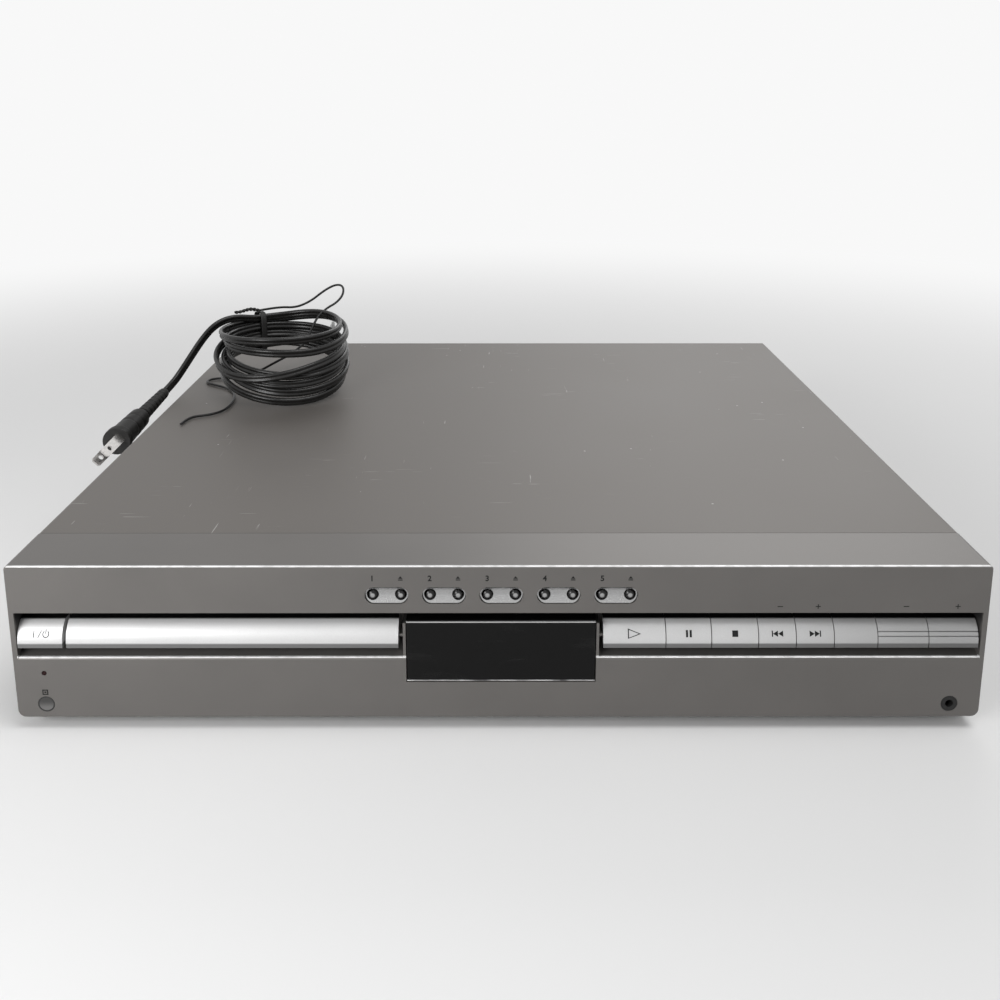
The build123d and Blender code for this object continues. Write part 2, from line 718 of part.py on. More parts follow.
def make_bezels():
    """Five dished pill plates, each with a flange behind the panel."""
    bezels = []
    front_y = FRONT_Y + SEAM
    back_y = FRONT_Y + PANEL_WALL
    half = BEZEL_HEIGHT / 2
    dish_r = (half ** 2 + BEZEL_DISH ** 2) / (2 * BEZEL_DISH)
    for slot in range(DISC_SLOTS):
        x = disc_x(slot)
        plate = pill_y(x, DISC_Z, front_y, back_y, BEZEL_LENGTH, BEZEL_HEIGHT)
        plate += pill_y(x, DISC_Z, back_y, back_y + SHEET,
                        BEZEL_LENGTH + 2 * BEZEL_FLANGE, BEZEL_HEIGHT + 2 * BEZEL_FLANGE)
        reach = BEZEL_LENGTH / 2
        plate -= rod_x(front_y + BEZEL_DISH - dish_r, DISC_Z, x - reach, x + reach, dish_r)
        for side in (-DOME_OFFSET, DOME_OFFSET):
            plate -= rod_y(x + side, DISC_Z, front_y, back_y + SHEET, DOME_R + STEM_CLEARANCE)
        bezels.append(plate)
    return bezels


def make_dome(x):
    """A ball-nosed disc or eject button with its stem."""
    nose_y = FRONT_Y + SEAM / 2
    back_y = FRONT_Y + PANEL_WALL + SHEET + DOME_TRAVEL
    button = rod_y(x, DISC_Z, nose_y, back_y, DOME_R)
    nose = [e for e in button.edges().filter_by(GeomType.CIRCLE) if e.center().Y < nose_y + 0.01]
    button = fillet(nose, DOME_R - 0.4)
    tip_y = NUB_Y - DOME_TRAVEL - PRESS_ROOM
    return button + rod_y(x, DISC_Z, back_y, tip_y, DOME_STEM_R)


def make_strip_button(name, x0, x1):
    """A curved strip button with its stem, and two grooves on the volume buttons."""
    button = bar_profile(x0, x1)
    if name.startswith("volume"):
        for height, depth in VOLUME_GROOVES:
            z = BAR_Z0 + height
            button -= block(x0, x1, FRONT_Y, FRONT_Y + depth, z, z + GROOVE_HEIGHT)
    tip_y = NUB_Y - BUTTON_TRAVEL - PRESS_ROOM
    return button + rod_y((x0 + x1) / 2, STEM_Z, FRONT_Y + BAR_DEPTH, tip_y, STEM_R)


def make_front_boards():
    """Main front board, the small left board, and a switch behind every button."""
    high = TOP_Z - PANEL_WALL - SHEET - FRONT_BOARD_TOP
    back_y = BOARD_Y + BOARD_T
    side = HALF - FRONT_BOARD_SIDE
    inner = WINDOW_X0 + WINDOW_BOARD
    main = block(inner, side, BOARD_Y, back_y, PAN_TOP + FRONT_BOARD_FOOT, high)
    main += block(DISC_FIRST_X - DISC_BOARD, inner, BOARD_Y, back_y, MECH_TOP + SHEET, high)
    small = block(-side, MECH_X - MECH_OUTER - SHEET, BOARD_Y, back_y, PAN_TOP + SHEET, high)
    pieces = [main, small]
    stems = [(x, STEM_Z) for x in strip_stems()]
    for slot in range(DISC_SLOTS):
        for offset in (-DOME_OFFSET, DOME_OFFSET):
            stems.append((disc_x(slot) + offset, DISC_Z))
    half = SWITCH_SIZE / 2
    for x, z in stems:
        body = block(x - half, x + half, BOARD_Y - SWITCH_BODY, BOARD_Y, z - half, z + half)
        pieces.append(body + rod_y(x, z, NUB_Y, BOARD_Y - SWITCH_BODY, STEM_R))
    half = SENSOR_SIZE / 2
    pieces.append(block(REMOTE_X - half, REMOTE_X + half, BOARD_Y - SENSOR_DEPTH, BOARD_Y,
                        PAN_TOP + SHEET, LOW_ROW_Z + half))
    return pieces


def make_headphone_jack():
    back_y = FRONT_Y + PANEL_WALL
    body = rod_y(HEADPHONE_X, LOW_ROW_Z, FRONT_Y, back_y, ROUND_INSERT_R)
    body += block(HEADPHONE_X - HEADPHONE_HALF, HEADPHONE_X + HEADPHONE_HALF, back_y, BOARD_Y,
                  PAN_TOP + SEAM, LOW_ROW_Z + HEADPHONE_HALF)
    return body - rod_y(HEADPHONE_X, LOW_ROW_Z, FRONT_Y, FRONT_Y + HEADPHONE_BORE_DEPTH,
                        HEADPHONE_BORE_R)


def make_round_insert(x, z, radius, length):
    """A lens pushed into the face from behind, with a flange clear of the chassis pan."""
    back_y = FRONT_Y + PANEL_WALL
    lens = rod_y(x, z, FRONT_Y, back_y, radius)
    flange_r = radius + SHEET
    lens += rod_y(x, z, back_y, back_y + SHEET, flange_r)
    lens -= block(x - flange_r, x + flange_r, back_y, back_y + SHEET, PAN_Z - SHEET, PAN_TOP + SEAM)
    if length:
        lens += rod_y(x, z, back_y, back_y + length, radius)
    return lens


def make_cover():
    """Painted steel top with both sides and a rear lip, with vent slots in the sides."""
    inner = COVER_HALF - SHEET
    cover = block(-COVER_HALF, COVER_HALF, COVER_FRONT_Y, COVER_REAR_Y, PAN_Z, TOP_Z)
    cover = fillet(edges_at(cover, Axis.Y, Z=TOP_Z), TOP_CORNER_R)
    cover -= block(-inner, inner, COVER_FRONT_Y, COVER_REAR_Y - SHEET, PAN_Z, TOP_Z - SHEET)
    cover -= block(-inner, inner, COVER_REAR_Y - SHEET, COVER_REAR_Y, PAN_Z, TOP_Z - COVER_LIP)
    for side in (-1, 1):
        middle = side * (COVER_HALF - SHEET / 2)
        for slot in range(VENTS):
            y = VENT_FIRST_Y + slot * VENT_PITCH
            cover -= block(middle - SHEET, middle + SHEET, y, y + VENT_WIDTH, VENT_Z0, VENT_Z1)
        for y in SIDE_SCREWS:
            cover -= rod_x(y, SIDE_SCREW_Z, middle - SHEET, middle + SHEET, SCREW_R + SEAM)
    for x in REAR_SCREWS:
        cover -= rod_y(x, REAR_SCREW_Z, COVER_REAR_Y - SHEET, COVER_REAR_Y, SCREW_R + SEAM)
    return cover


def make_screws():
    screws = []
    for side in (-1, 1):
        for y in SIDE_SCREWS:
            out = side * COVER_HALF
            head_x = out + side * SCREW_HEAD
            end_x = side * (PAN_INNER - SCREW_END)
            head = rod_x(y, SIDE_SCREW_Z, min(out, head_x), max(out, head_x), SCREW_HEAD_R)
            shank = rod_x(y, SIDE_SCREW_Z, min(end_x, out), max(end_x, out), SCREW_R)
            screws.append(head + shank)
    for x in REAR_SCREWS:
        head = rod_y(x, REAR_SCREW_Z, COVER_REAR_Y, COVER_REAR_Y + SCREW_HEAD, SCREW_HEAD_R)
        screws.append(head + rod_y(x, REAR_SCREW_Z, REAR_IN_Y - SCREW_END, COVER_REAR_Y, SCREW_R))
    return screws


def make_pan():
    """Chassis floor with turned-up sides and the boards' standoffs."""
    front_y = FRONT_Y + PANEL_WALL + SEAM
    pan = block(-PAN_HALF, PAN_HALF, front_y, REAR_IN_Y, PAN_Z, PAN_TOP)
    side_front = COVER_FRONT_Y + 2 * PANEL_WALL + SEAM
    for side in (-1, 1):
        outer = side * PAN_HALF
        inner = side * PAN_INNER
        pan += block(min(outer, inner), max(outer, inner), side_front, REAR_IN_Y,
                     PAN_TOP, PAN_TOP + PAN_SIDE)
        for y in SIDE_SCREWS:
            pan -= rod_x(y, SIDE_SCREW_Z, min(outer, inner), max(outer, inner),
                         SCREW_R + BORE_CLEARANCE)
    pan -= block(-HALF, -PAN_HALF + PANEL_WALL, front_y, side_front - SEAM, PAN_Z, PAN_TOP)
    pan -= block(PAN_HALF - PANEL_WALL, HALF, front_y, side_front - SEAM, PAN_Z, PAN_TOP)
    for x, y in board_standoffs():
        pan += rod_z(x, y, PAN_TOP, BOARD_Z, STANDOFF_R)
    return pan


def board_standoffs():
    inset = STANDOFF_INSET
    spots = []
    for x in (MAIN_BOARD_X0 + inset, MAIN_BOARD_X1 - inset):
        for y in (MAIN_BOARD_Y0 + inset, (MAIN_BOARD_Y0 + MAIN_BOARD_Y1) / 2,
                  MAIN_BOARD_Y1 - inset):
            spots.append((x, y))
    for x in (POWER_BOARD_X0 + inset, POWER_BOARD_X1 - inset):
        for y in (POWER_BOARD_Y0 + inset, POWER_BOARD_Y1 - inset):
            spots.append((x, y))
    return spots


def make_feet():
    rear_y = COVER_REAR_Y - FOOT_INSET
    side_x = HALF - FOOT_INSET
    feet = []
    for x in (-side_x, side_x):
        for y in (FRONT_Y + FOOT_INSET, rear_y):
            foot = rod_z(x, y, 0, PAN_Z, FOOT_R)
            rim = [e for e in foot.edges().filter_by(GeomType.CIRCLE) if e.center().Z < 0.01]
            feet.append(chamfer(rim, SHEET))
    return feet


def make_rear_panel():
    """Steel rear panel with holes for the jacks, fan, sockets and cord gland."""
    half = PAN_INNER - SEAM
    panel = block(-half, half, REAR_IN_Y, REAR_OUT_Y, PAN_Z, TOP_Z - SHEET - SEAM)
    for x in RCA_COLUMNS:
        for z in RCA_ROWS:
            panel -= rod_y(x, z, REAR_IN_Y, REAR_OUT_Y, RCA_R + RCA_HOLE_GAP)
    reach = SPEAKER_HALF + SEAM
    rise = SPEAKER_HALF_HEIGHT + SEAM
    for x in speaker_columns():
        for z in SPEAKER_ROWS:
            panel -= block(x - reach, x + reach, REAR_IN_Y, REAR_OUT_Y, z - rise, z + rise)
    panel -= rod_y(AERIAL_X, AERIAL_Z + AERIAL_ROUND_RISE, REAR_IN_Y, REAR_OUT_Y,
                   AERIAL_ROUND_R + RCA_HOLE_GAP)
    reach = AERIAL_FLAT_HALF + SEAM
    panel -= block(AERIAL_X - reach, AERIAL_X + reach, REAR_IN_Y, REAR_OUT_Y,
                   AERIAL_Z - AERIAL_FLAT_DROP - SEAM, AERIAL_Z + AERIAL_FLAT_RISE + SEAM)
    panel -= rod_y(GLAND_X, GLAND_Z, REAR_IN_Y, REAR_OUT_Y, GLAND_R - GLAND_STEP)
    first_z = FAN_Z - ((GRILLE_SLOTS - 1) * GRILLE_PITCH + GRILLE_SLAT) / 2
    for row in range(GRILLE_SLOTS):
        z = first_z + row * GRILLE_PITCH
        rise = max(abs(z - FAN_Z), abs(z + GRILLE_SLAT - FAN_Z))
        reach = math.sqrt(FAN_BORE_R ** 2 - rise ** 2) - SHEET
        panel -= block(FAN_X - reach, FAN_X + reach, REAR_IN_Y, REAR_OUT_Y, z, z + GRILLE_SLAT)
    for slot in range(REAR_VENTS):
        x = -half + REAR_VENT_INSET + slot * REAR_VENT_PITCH
        panel -= block(x, x + GRILLE_SLAT, REAR_IN_Y, REAR_OUT_Y, REAR_VENT_Z0, REAR_VENT_Z1)
    for x in REAR_SCREWS:
        panel -= rod_y(x, REAR_SCREW_Z, REAR_IN_Y, REAR_OUT_Y, SCREW_R + BORE_CLEARANCE)
    return panel


def make_rear_jacks():
    """Video and audio jacks: metal shells on moulded blocks on the main board."""
    pieces = []
    shell_y = REAR_OUT_Y + SEAM
    shell_end = REAR_OUT_Y + RCA_REACH
    for x in RCA_COLUMNS:
        body = block(x - RCA_BODY_HALF, x + RCA_BODY_HALF, REAR_IN_Y - RCA_BODY_DEPTH, REAR_IN_Y,
                     BOARD_TOP, RCA_ROWS[1] + RCA_BODY_RISE)
        for z in RCA_ROWS:
            body += rod_y(x, z, REAR_IN_Y, shell_y, RCA_R - SEAM)
            body += rod_y(x, z, shell_y, shell_end, RCA_R)
            body -= rod_y(x, z, REAR_OUT_Y + SOCKET_SHELL, shell_end, RCA_PIN_R)
        pieces.append(body)
    return pieces


def speaker_columns():
    return [SPEAKER_X0 + column * SPEAKER_PITCH for column in range(SPEAKER_COLUMNS)]


def make_speaker_sockets():
    pieces = []
    entry = SPEAKER_ENTRY_HALF
    for x in speaker_columns():
        body = block(x - SPEAKER_BODY_HALF, x + SPEAKER_BODY_HALF, REAR_IN_Y - SPEAKER_BODY_DEPTH,
                     REAR_IN_Y, BOARD_TOP, SPEAKER_ROWS[1] + SPEAKER_BODY_RISE)
        for z in SPEAKER_ROWS:
            body += block(x - SPEAKER_HALF, x + SPEAKER_HALF, REAR_IN_Y, REAR_END_Y,
                          z - SPEAKER_HALF_HEIGHT, z + SPEAKER_HALF_HEIGHT)
            for middle in (x - SPEAKER_ENTRY_X, x + SPEAKER_ENTRY_X):
                body -= block(middle - entry, middle + entry, REAR_END_Y - SPEAKER_ENTRY_DEPTH,
                              REAR_END_Y, z - SPEAKER_HALF / 2, z + SPEAKER_HALF / 2)
        pieces.append(body)
    return pieces


def make_aerial_terminals():
    """Round radio aerial socket and the flat push terminal below it."""
    round_z = AERIAL_Z + AERIAL_ROUND_RISE
    round_end = REAR_OUT_Y + RCA_REACH
    flat_end = REAR_OUT_Y + AERIAL_FLAT_REACH
    plate = block(AERIAL_X - AERIAL_PLATE_HALF, AERIAL_X + AERIAL_PLATE_HALF,
                  REAR_IN_Y - AERIAL_PLATE_T, REAR_IN_Y,
                  AERIAL_Z - AERIAL_PLATE_DROP, AERIAL_Z + AERIAL_PLATE_RISE)
    plate += rod_y(AERIAL_X, round_z, REAR_IN_Y, round_end, AERIAL_ROUND_R)
    plate -= rod_y(AERIAL_X, round_z, REAR_OUT_Y + SOCKET_SHELL, round_end, AERIAL_HOLE_R)
    plate += block(AERIAL_X - AERIAL_FLAT_HALF, AERIAL_X + AERIAL_FLAT_HALF, REAR_IN_Y, flat_end,
                   AERIAL_Z - AERIAL_FLAT_DROP, AERIAL_Z + AERIAL_FLAT_RISE)
    for x in (AERIAL_X - AERIAL_FLAT_HALF / 2, AERIAL_X + AERIAL_FLAT_HALF / 2):
        plate -= rod_y(x, AERIAL_Z - AERIAL_HOLE_DROP, REAR_OUT_Y, flat_end, AERIAL_HOLE_R)
    return plate


def make_main_board():
    """Signal and amplifier board with its chips and capacitors."""
    board = block(MAIN_BOARD_X0, MAIN_BOARD_X1, MAIN_BOARD_Y0, MAIN_BOARD_Y1, BOARD_Z, BOARD_TOP)
    pieces = [board]
    for from_left, from_front, size, height in CHIPS:
        x = MAIN_BOARD_X0 + from_left
        y = MAIN_BOARD_Y0 + from_front
        pieces.append(block(x - size / 2, x + size / 2, y - size / 2, y + size / 2,
                            BOARD_TOP, BOARD_TOP + height))
    for from_right, from_rear, radius, height in MAIN_CAPACITORS:
        pieces.append(rod_z(MAIN_BOARD_X1 - from_right, MAIN_BOARD_Y1 - from_rear,
                            BOARD_TOP, BOARD_TOP + height, radius))
    return pieces


def make_power_board():
    """Mains board with its bulk and output capacitors and the block the cord is soldered to."""
    pieces = [block(POWER_BOARD_X0, POWER_BOARD_X1, POWER_BOARD_Y0, POWER_BOARD_Y1,
                    BOARD_Z, BOARD_TOP)]
    for from_left in BULK_CAPACITORS:
        pieces.append(rod_z(POWER_BOARD_X0 + from_left, POWER_BOARD_Y0 + BULK_CAPACITOR_Y,
                            BOARD_TOP, BOARD_TOP + BULK_CAPACITOR_HEIGHT, BULK_CAPACITOR_R))
    radius = OUTPUT_CAPACITOR_R
    for column, y in ((1, POWER_BOARD_Y0 + 3 * radius), (2, POWER_BOARD_Y1 - 3 * radius)):
        pieces.append(rod_z(POWER_BOARD_X1 - 3 * radius * column, y, BOARD_TOP,
                            BOARD_TOP + OUTPUT_CAPACITOR_HEIGHT, radius))
    inlet_y = POWER_BOARD_Y1 - INLET_REAR
    pieces.append(block(GLAND_X - INLET_HALF, GLAND_X + INLET_HALF, inlet_y - INLET_SIZE, inlet_y,
                        BOARD_TOP, BOARD_TOP + INLET_SIZE))
    return pieces


def make_transformer():
    """Ferrite core round a wound bobbin."""
    x = POWER_BOARD_X0 + TRANSFORMER_LEFT
    y = (POWER_BOARD_Y0 + POWER_BOARD_Y1) / 2
    top = BOARD_TOP + TRANSFORMER_HEIGHT
    half = TRANSFORMER_WIDTH / 2
    core = block(x - half, x + half, y - TRANSFORMER_DEPTH / 4, y + TRANSFORMER_DEPTH / 4,
                 BOARD_TOP, top)
    return core + rod_z(x, y, BOARD_TOP + TRANSFORMER_YOKE, top - TRANSFORMER_YOKE,
                        TRANSFORMER_DEPTH / 2)


def make_heatsink():
    """Finned aluminium block over the amplifier."""
    x1 = MAIN_BOARD_X1 - HEATSINK_RIGHT
    x0 = x1 - HEATSINK_WIDTH
    y1 = MAIN_BOARD_Y1 - HEATSINK_REAR
    y0 = y1 - HEATSINK_LENGTH
    base_z = BOARD_TOP + HEATSINK_BASE
    sink = block(x0, x1, y0, y1, BOARD_TOP, base_z)
    step = (HEATSINK_WIDTH - FIN_T) / (HEATSINK_FINS - 1)
    for fin in range(HEATSINK_FINS):
        x = x0 + fin * step
        sink += block(x, x + FIN_T, y0, y1, base_z, BOARD_TOP + HEATSINK_HEIGHT)
    return sink


def make_fan():
    """Axial fan against the rear panel: frame with a rear spider, and the rotor."""
    half = FAN_SIZE / 2
    y1 = REAR_IN_Y
    y0 = y1 - FAN_DEPTH
    frame = block(FAN_X - half, FAN_X + half, y0, y1, FAN_Z - half, FAN_Z + half)
    frame -= rod_y(FAN_X, FAN_Z, y0, y1, FAN_BORE_R)
    spider_y = y1 - FAN_SPIDER_T
    frame += rod_y(FAN_X, FAN_Z, spider_y, y1, FAN_SPIDER_R)
    reach = (FAN_BORE_R + half) / 2
    arm = FAN_ARM / 2
    frame += block(FAN_X - reach, FAN_X + reach, spider_y, y1, FAN_Z - arm, FAN_Z + arm)
    frame += block(FAN_X - arm, FAN_X + arm, spider_y, y1, FAN_Z - reach, FAN_Z + reach)
    frame += rod_y(FAN_X, FAN_Z, y0 + 3 * FAN_FLOOR, spider_y, FAN_SHAFT_R)
    rotor = rod_y(FAN_X, FAN_Z, y0 + FAN_FLOOR, spider_y - SLIDE_GAP, FAN_HUB_R)
    tip = FAN_BORE_R - SHEET
    length = tip - VANE_ROOT
    for blade in range(FAN_BLADES):
        vane = Pos((tip + VANE_ROOT) / 2, 0, 0) * Rot(VANE_ANGLE, 0, 0) * Box(length, VANE_WIDTH,
                                                                               VANE_T)
        turn = Rot(0, blade * 360 / FAN_BLADES, 0)
        rotor += Pos(FAN_X, (y0 + spider_y) / 2, FAN_Z) * turn * vane
    rotor -= rod_y(FAN_X, FAN_Z, y0 + 2.5 * FAN_FLOOR, spider_y, FAN_SHAFT_R + BORE_CLEARANCE)
    return frame, rotor


def involute(base_r, radius):
    """Polar angle of an involute at a radius."""
    if radius <= base_r:
        return 0.0
    roll = math.sqrt((radius / base_r) ** 2 - 1)
    return roll - math.atan(roll)


def make_gear(teeth, x, y, bore_r, first_angle):
    """A spur gear about Z with a tooth centred on first_angle, in degrees."""
    pitch_r = MODULE * teeth / 2
    base_r = pitch_r * math.cos(PRESSURE_ANGLE)
    tip_r = pitch_r + ADDENDUM
    root_r = pitch_r - DEDENDUM
    start_r = max(base_r, root_r)
    half_pitch = (math.pi * MODULE / 2 - TOOTH_BACKLASH / 2) / 2 / pitch_r
    at_pitch = involute(base_r, pitch_r)
    flank = [(root_r, half_pitch + at_pitch)] if root_r < base_r - 0.01 else []
    steps = 4
    for i in range(steps + 1):
        r = start_r + (tip_r - start_r) * i / steps
        flank.append((r, half_pitch + at_pitch - involute(base_r, r)))
    points = []
    for tooth in range(teeth):
        middle = math.radians(first_angle) + tooth * 2 * math.pi / teeth
        points += [(r * math.cos(middle - a), r * math.sin(middle - a)) for r, a in flank]
        points += [(r * math.cos(middle + a), r * math.sin(middle + a)) for r, a in reversed(flank)]
    face = make_face(Polyline(*points, close=True))
    gear = Pos(x, y, GEAR_Z0) * extrude(face, GEAR_T)
    return gear - rod_z(x, y, GEAR_Z0, GEAR_Z1, bore_r)


def make_rack():
    """Rack under the tray, with teeth towards -X and a space centred on the pinion."""
    pitch = math.pi * MODULE
    slope = math.tan(PRESSURE_ANGLE)
    half_tooth = (pitch / 2 - TOOTH_BACKLASH / 2) / 2
    line_x = MECH_X + RACK_X
    root_x = line_x + DEDENDUM
    tip_x = line_x - ADDENDUM
    before = 3
    count = int(DRAWER_TRAVEL / pitch) + 2 * before
    first_y = PINION_Y - (before - 0.5) * pitch
    points = [(root_x + RACK_BACK, first_y - pitch / 2), (root_x, first_y - pitch / 2)]
    root_half = half_tooth + DEDENDUM * slope
    tip_half = half_tooth - ADDENDUM * slope
    for tooth in range(count):
        y = first_y + tooth * pitch
        points += [(root_x, y - root_half), (tip_x, y - tip_half),
                   (tip_x, y + tip_half), (root_x, y + root_half)]
    end_y = first_y + (count - 0.5) * pitch
    points += [(root_x, end_y), (root_x + RACK_BACK, end_y)]
    rack = make_face(Polyline(*points, close=True))
    return Pos(0, 0, RACK_Z0) * extrude(rack, TRAY_Z0 - RACK_Z0)


def make_drawer():
    """The sliding drawer: long front bar, tray with its disc wells, rails and rack."""
    drawer = bar_profile(BAR_X0, BAR_X1)
    left = MECH_X - TRAY_HALF
    right = MECH_X + TRAY_HALF
    drawer += block(left, right, TRAY_FRONT_Y, TRAY_REAR_Y, TRAY_Z0, TRAY_Z1)
    for x0 in (left, right - RAIL_W):
        drawer += block(x0, x0 + RAIL_W, TRAY_REAR_Y, TRAY_REAR_Y + RAIL_LENGTH, TRAY_Z0, TRAY_Z1)
    drawer += make_rack()
    well_floor = TRAY_Z1 - WELL_DEPTH
    drawer -= rod_z(MECH_X, WELL_Y, well_floor, TRAY_Z1, WELL_R)
    drawer -= rod_z(MECH_X, WELL_Y, well_floor - SMALL_WELL_DEPTH, well_floor, SMALL_WELL_R)
    drawer -= rod_z(MECH_X, WELL_Y, TRAY_Z0, TRAY_Z1, KEYHOLE_R)
    drawer -= block(MECH_X - KEYHOLE_R, MECH_X + KEYHOLE_R, WELL_Y, TRAY_REAR_Y - KEYHOLE_END,
                    TRAY_Z0, TRAY_Z1)
    return drawer


def make_mechanism_frame():
    """Side walls, floor, drawer guides, clamp bridge, pivot ears and gear studs."""
    inner = MECH_INNER
    outer = MECH_OUTER
    frame = block(MECH_X - outer, MECH_X + outer, MECH_FRONT_Y, MECH_REAR_Y,
                  PAN_TOP, MECH_FLOOR_TOP)
    for side in (-1, 1):
        x0 = MECH_X + side * inner
        x1 = MECH_X + side * outer
        frame += block(min(x0, x1), max(x0, x1), MECH_FRONT_Y, MECH_REAR_Y,
                       MECH_FLOOR_TOP, MECH_TOP)
        lip = x0 - side * GUIDE_LIP
        rail_z0 = TRAY_Z0 if side < 0 else RACK_Z0
        for z0 in (rail_z0 - SLIDE_GAP - GUIDE_T, TRAY_Z1 + SLIDE_GAP):
            frame += block(min(lip, x0), max(lip, x0), MECH_FRONT_Y, MECH_REAR_Y - GUIDE_END,
                           z0, z0 + GUIDE_T)
    frame += block(MECH_X - inner, MECH_X + inner, WELL_Y - BRIDGE_HALF, WELL_Y + BRIDGE_HALF,
                   MECH_TOP - BRIDGE_T, MECH_TOP)
    frame -= rod_z(MECH_X, WELL_Y, MECH_TOP - BRIDGE_T, MECH_TOP, PUCK_NECK_R + SLIDE_GAP)
    ear_in = BASE_HALF + SLIDE_GAP
    for side in (-1, 1):
        x0 = MECH_X + side * ear_in
        x1 = x0 + side * EAR_T
        ear = block(min(x0, x1), max(x0, x1), PIVOT_Y - EAR_HALF, PIVOT_Y + EAR_HALF,
                    MECH_FLOOR_TOP, BASE_Z + BASE_T + EAR_T)
        frame += ear - rod_x(PIVOT_Y, BASE_Z + BASE_T / 2, min(x0, x1), max(x0, x1),
                             PIVOT_R + BORE_CLEARANCE)
        rod_x_place = MECH_X + side * LIFT_ROD_X
        frame += rod_z(rod_x_place, lift_rod_y(), MECH_FLOOR_TOP,
                       MECH_FLOOR_TOP + STOCKER_HEIGHT + STOCKER_LIFT + SHEET, LIFT_ROD_R)
    frame += rod_z(PINION_X, PINION_Y, MECH_FLOOR_TOP, GEAR_Z0 - SEAM, STUD_R)
    frame += rod_z(PINION_X, PINION_Y, GEAR_Z0 - SEAM, GEAR_Z1 - SEAM, STEM_R)
    return frame


def lift_rod_y():
    return STOCKER_FRONT_Y + STOCKER_LENGTH + LIFT_LUG


def make_loading_motor():
    z1 = MECH_FLOOR_TOP + MOTOR_HEIGHT
    motor = rod_z(MOTOR_X, PINION_Y, MECH_FLOOR_TOP, z1, MOTOR_R)
    boss_z = z1 + MOTOR_BOSS
    motor += rod_z(MOTOR_X, PINION_Y, z1, boss_z, MOTOR_BOSS_R)
    return motor + rod_z(MOTOR_X, PINION_Y, boss_z, GEAR_Z1 - SEAM, MOTOR_SHAFT_R)


def make_stocker():
    """Lift cage with the four stored trays on their ledges."""
    z0 = MECH_FLOOR_TOP + SLIDE_GAP
    z1 = z0 + STOCKER_HEIGHT
    y0 = STOCKER_FRONT_Y
    y1 = y0 + STOCKER_LENGTH
    half = STOCKER_HALF
    inner = half - STOCKER_WALL
    cage = block(MECH_X - half, MECH_X + half, y0, y1, z0, z1)
    cage -= block(MECH_X - inner, MECH_X + inner, y0, y1 - STOCKER_WALL, z0 + STOCKER_WALL, z1)
    for side in (-1, 1):
        x = MECH_X + side * LIFT_ROD_X
        lug = block(x - LIFT_LUG, x + LIFT_LUG, y1, lift_rod_y() + LIFT_LUG, z0, z1)
        cage += lug - rod_z(x, lift_rod_y(), z0, z1, LIFT_ROD_R + BORE_CLEARANCE)
    pieces = []
    tray_half = inner - SEAM
    for level in range(STORED_TRAYS):
        z = z0 + STOCKER_WALL + STORED_TRAY_RISE + level * STORED_PITCH
        for side in (-1, 1):
            a = MECH_X + side * inner
            b = a - side * LEDGE_W
            cage += block(min(a, b), max(a, b), y0, y1 - STOCKER_WALL, z - SHEET, z)
        tray = block(MECH_X - tray_half, MECH_X + tray_half, y0 + STOCKER_WALL,
                     y1 - STOCKER_WALL - SEAM, z, z + STORED_TRAY_T)
        middle = (y0 + y1) / 2
        tray -= rod_z(MECH_X, middle, z + STORED_TRAY_T / 2, z + STORED_TRAY_T, WELL_R)
        tray -= rod_z(MECH_X, middle, z, z + STORED_TRAY_T, KEYHOLE_R)
        pieces.append(tray)
    return [cage] + pieces


def make_base_unit():
    """Hinged plate with the spindle motor and the saddles of the guide rods."""
    z1 = BASE_Z + BASE_T
    base = block(MECH_X - BASE_HALF, MECH_X + BASE_HALF, BASE_FRONT_Y, BASE_REAR_Y, BASE_Z, z1)
    window_half = PICKUP_HALF + 2 * SHEET
    window_y0 = PICKUP_Y - PICKUP_LENGTH / 2 - SHEET
    window_y1 = PICKUP_Y + PICKUP_TRAVEL + PICKUP_LENGTH / 2 + SHEET
    base -= block(MECH_X - window_half, MECH_X + window_half, window_y0, window_y1, BASE_Z, z1)
    for side in (-1, 1):
        x0 = MECH_X + side * (BASE_HALF - ARM_WIDTH)
        x1 = MECH_X + side * BASE_HALF
        base += block(min(x0, x1), max(x0, x1), BASE_REAR_Y, PIVOT_Y + PIVOT_R, BASE_Z, z1)
        end = MECH_X + side * (BASE_HALF + SLIDE_GAP + EAR_T)
        base += rod_x(PIVOT_Y, BASE_Z + BASE_T / 2, min(x1, end), max(x1, end), PIVOT_R)
        x = MECH_X + side * ROD_X
        for y0 in (window_y0 - SADDLE_LENGTH, window_y1):
            y1 = y0 + SADDLE_LENGTH
            saddle = block(x - SADDLE_HALF, x + SADDLE_HALF, y0, y1, z1, z1 + SADDLE_HEIGHT)
            base += saddle - rod_y(x, ROD_Z, y0, y1, ROD_R + BORE_CLEARANCE)
    base += rod_z(MECH_X, WELL_Y, BASE_Z - SPINDLE_MOTOR_HEIGHT, BASE_Z, SPINDLE_MOTOR_R)
    base -= rod_z(MECH_X, WELL_Y, BASE_Z - SPINDLE_BORE_DEPTH, z1, MOTOR_SHAFT_R + BORE_CLEARANCE)
    return base


def make_guide_rods():
    y0 = PICKUP_Y - PICKUP_LENGTH / 2 - ROD_END
    y1 = PICKUP_Y + PICKUP_TRAVEL + PICKUP_LENGTH / 2 + ROD_END
    return [rod_y(MECH_X + side * ROD_X, ROD_Z, y0, y1, ROD_R) for side in (-1, 1)]


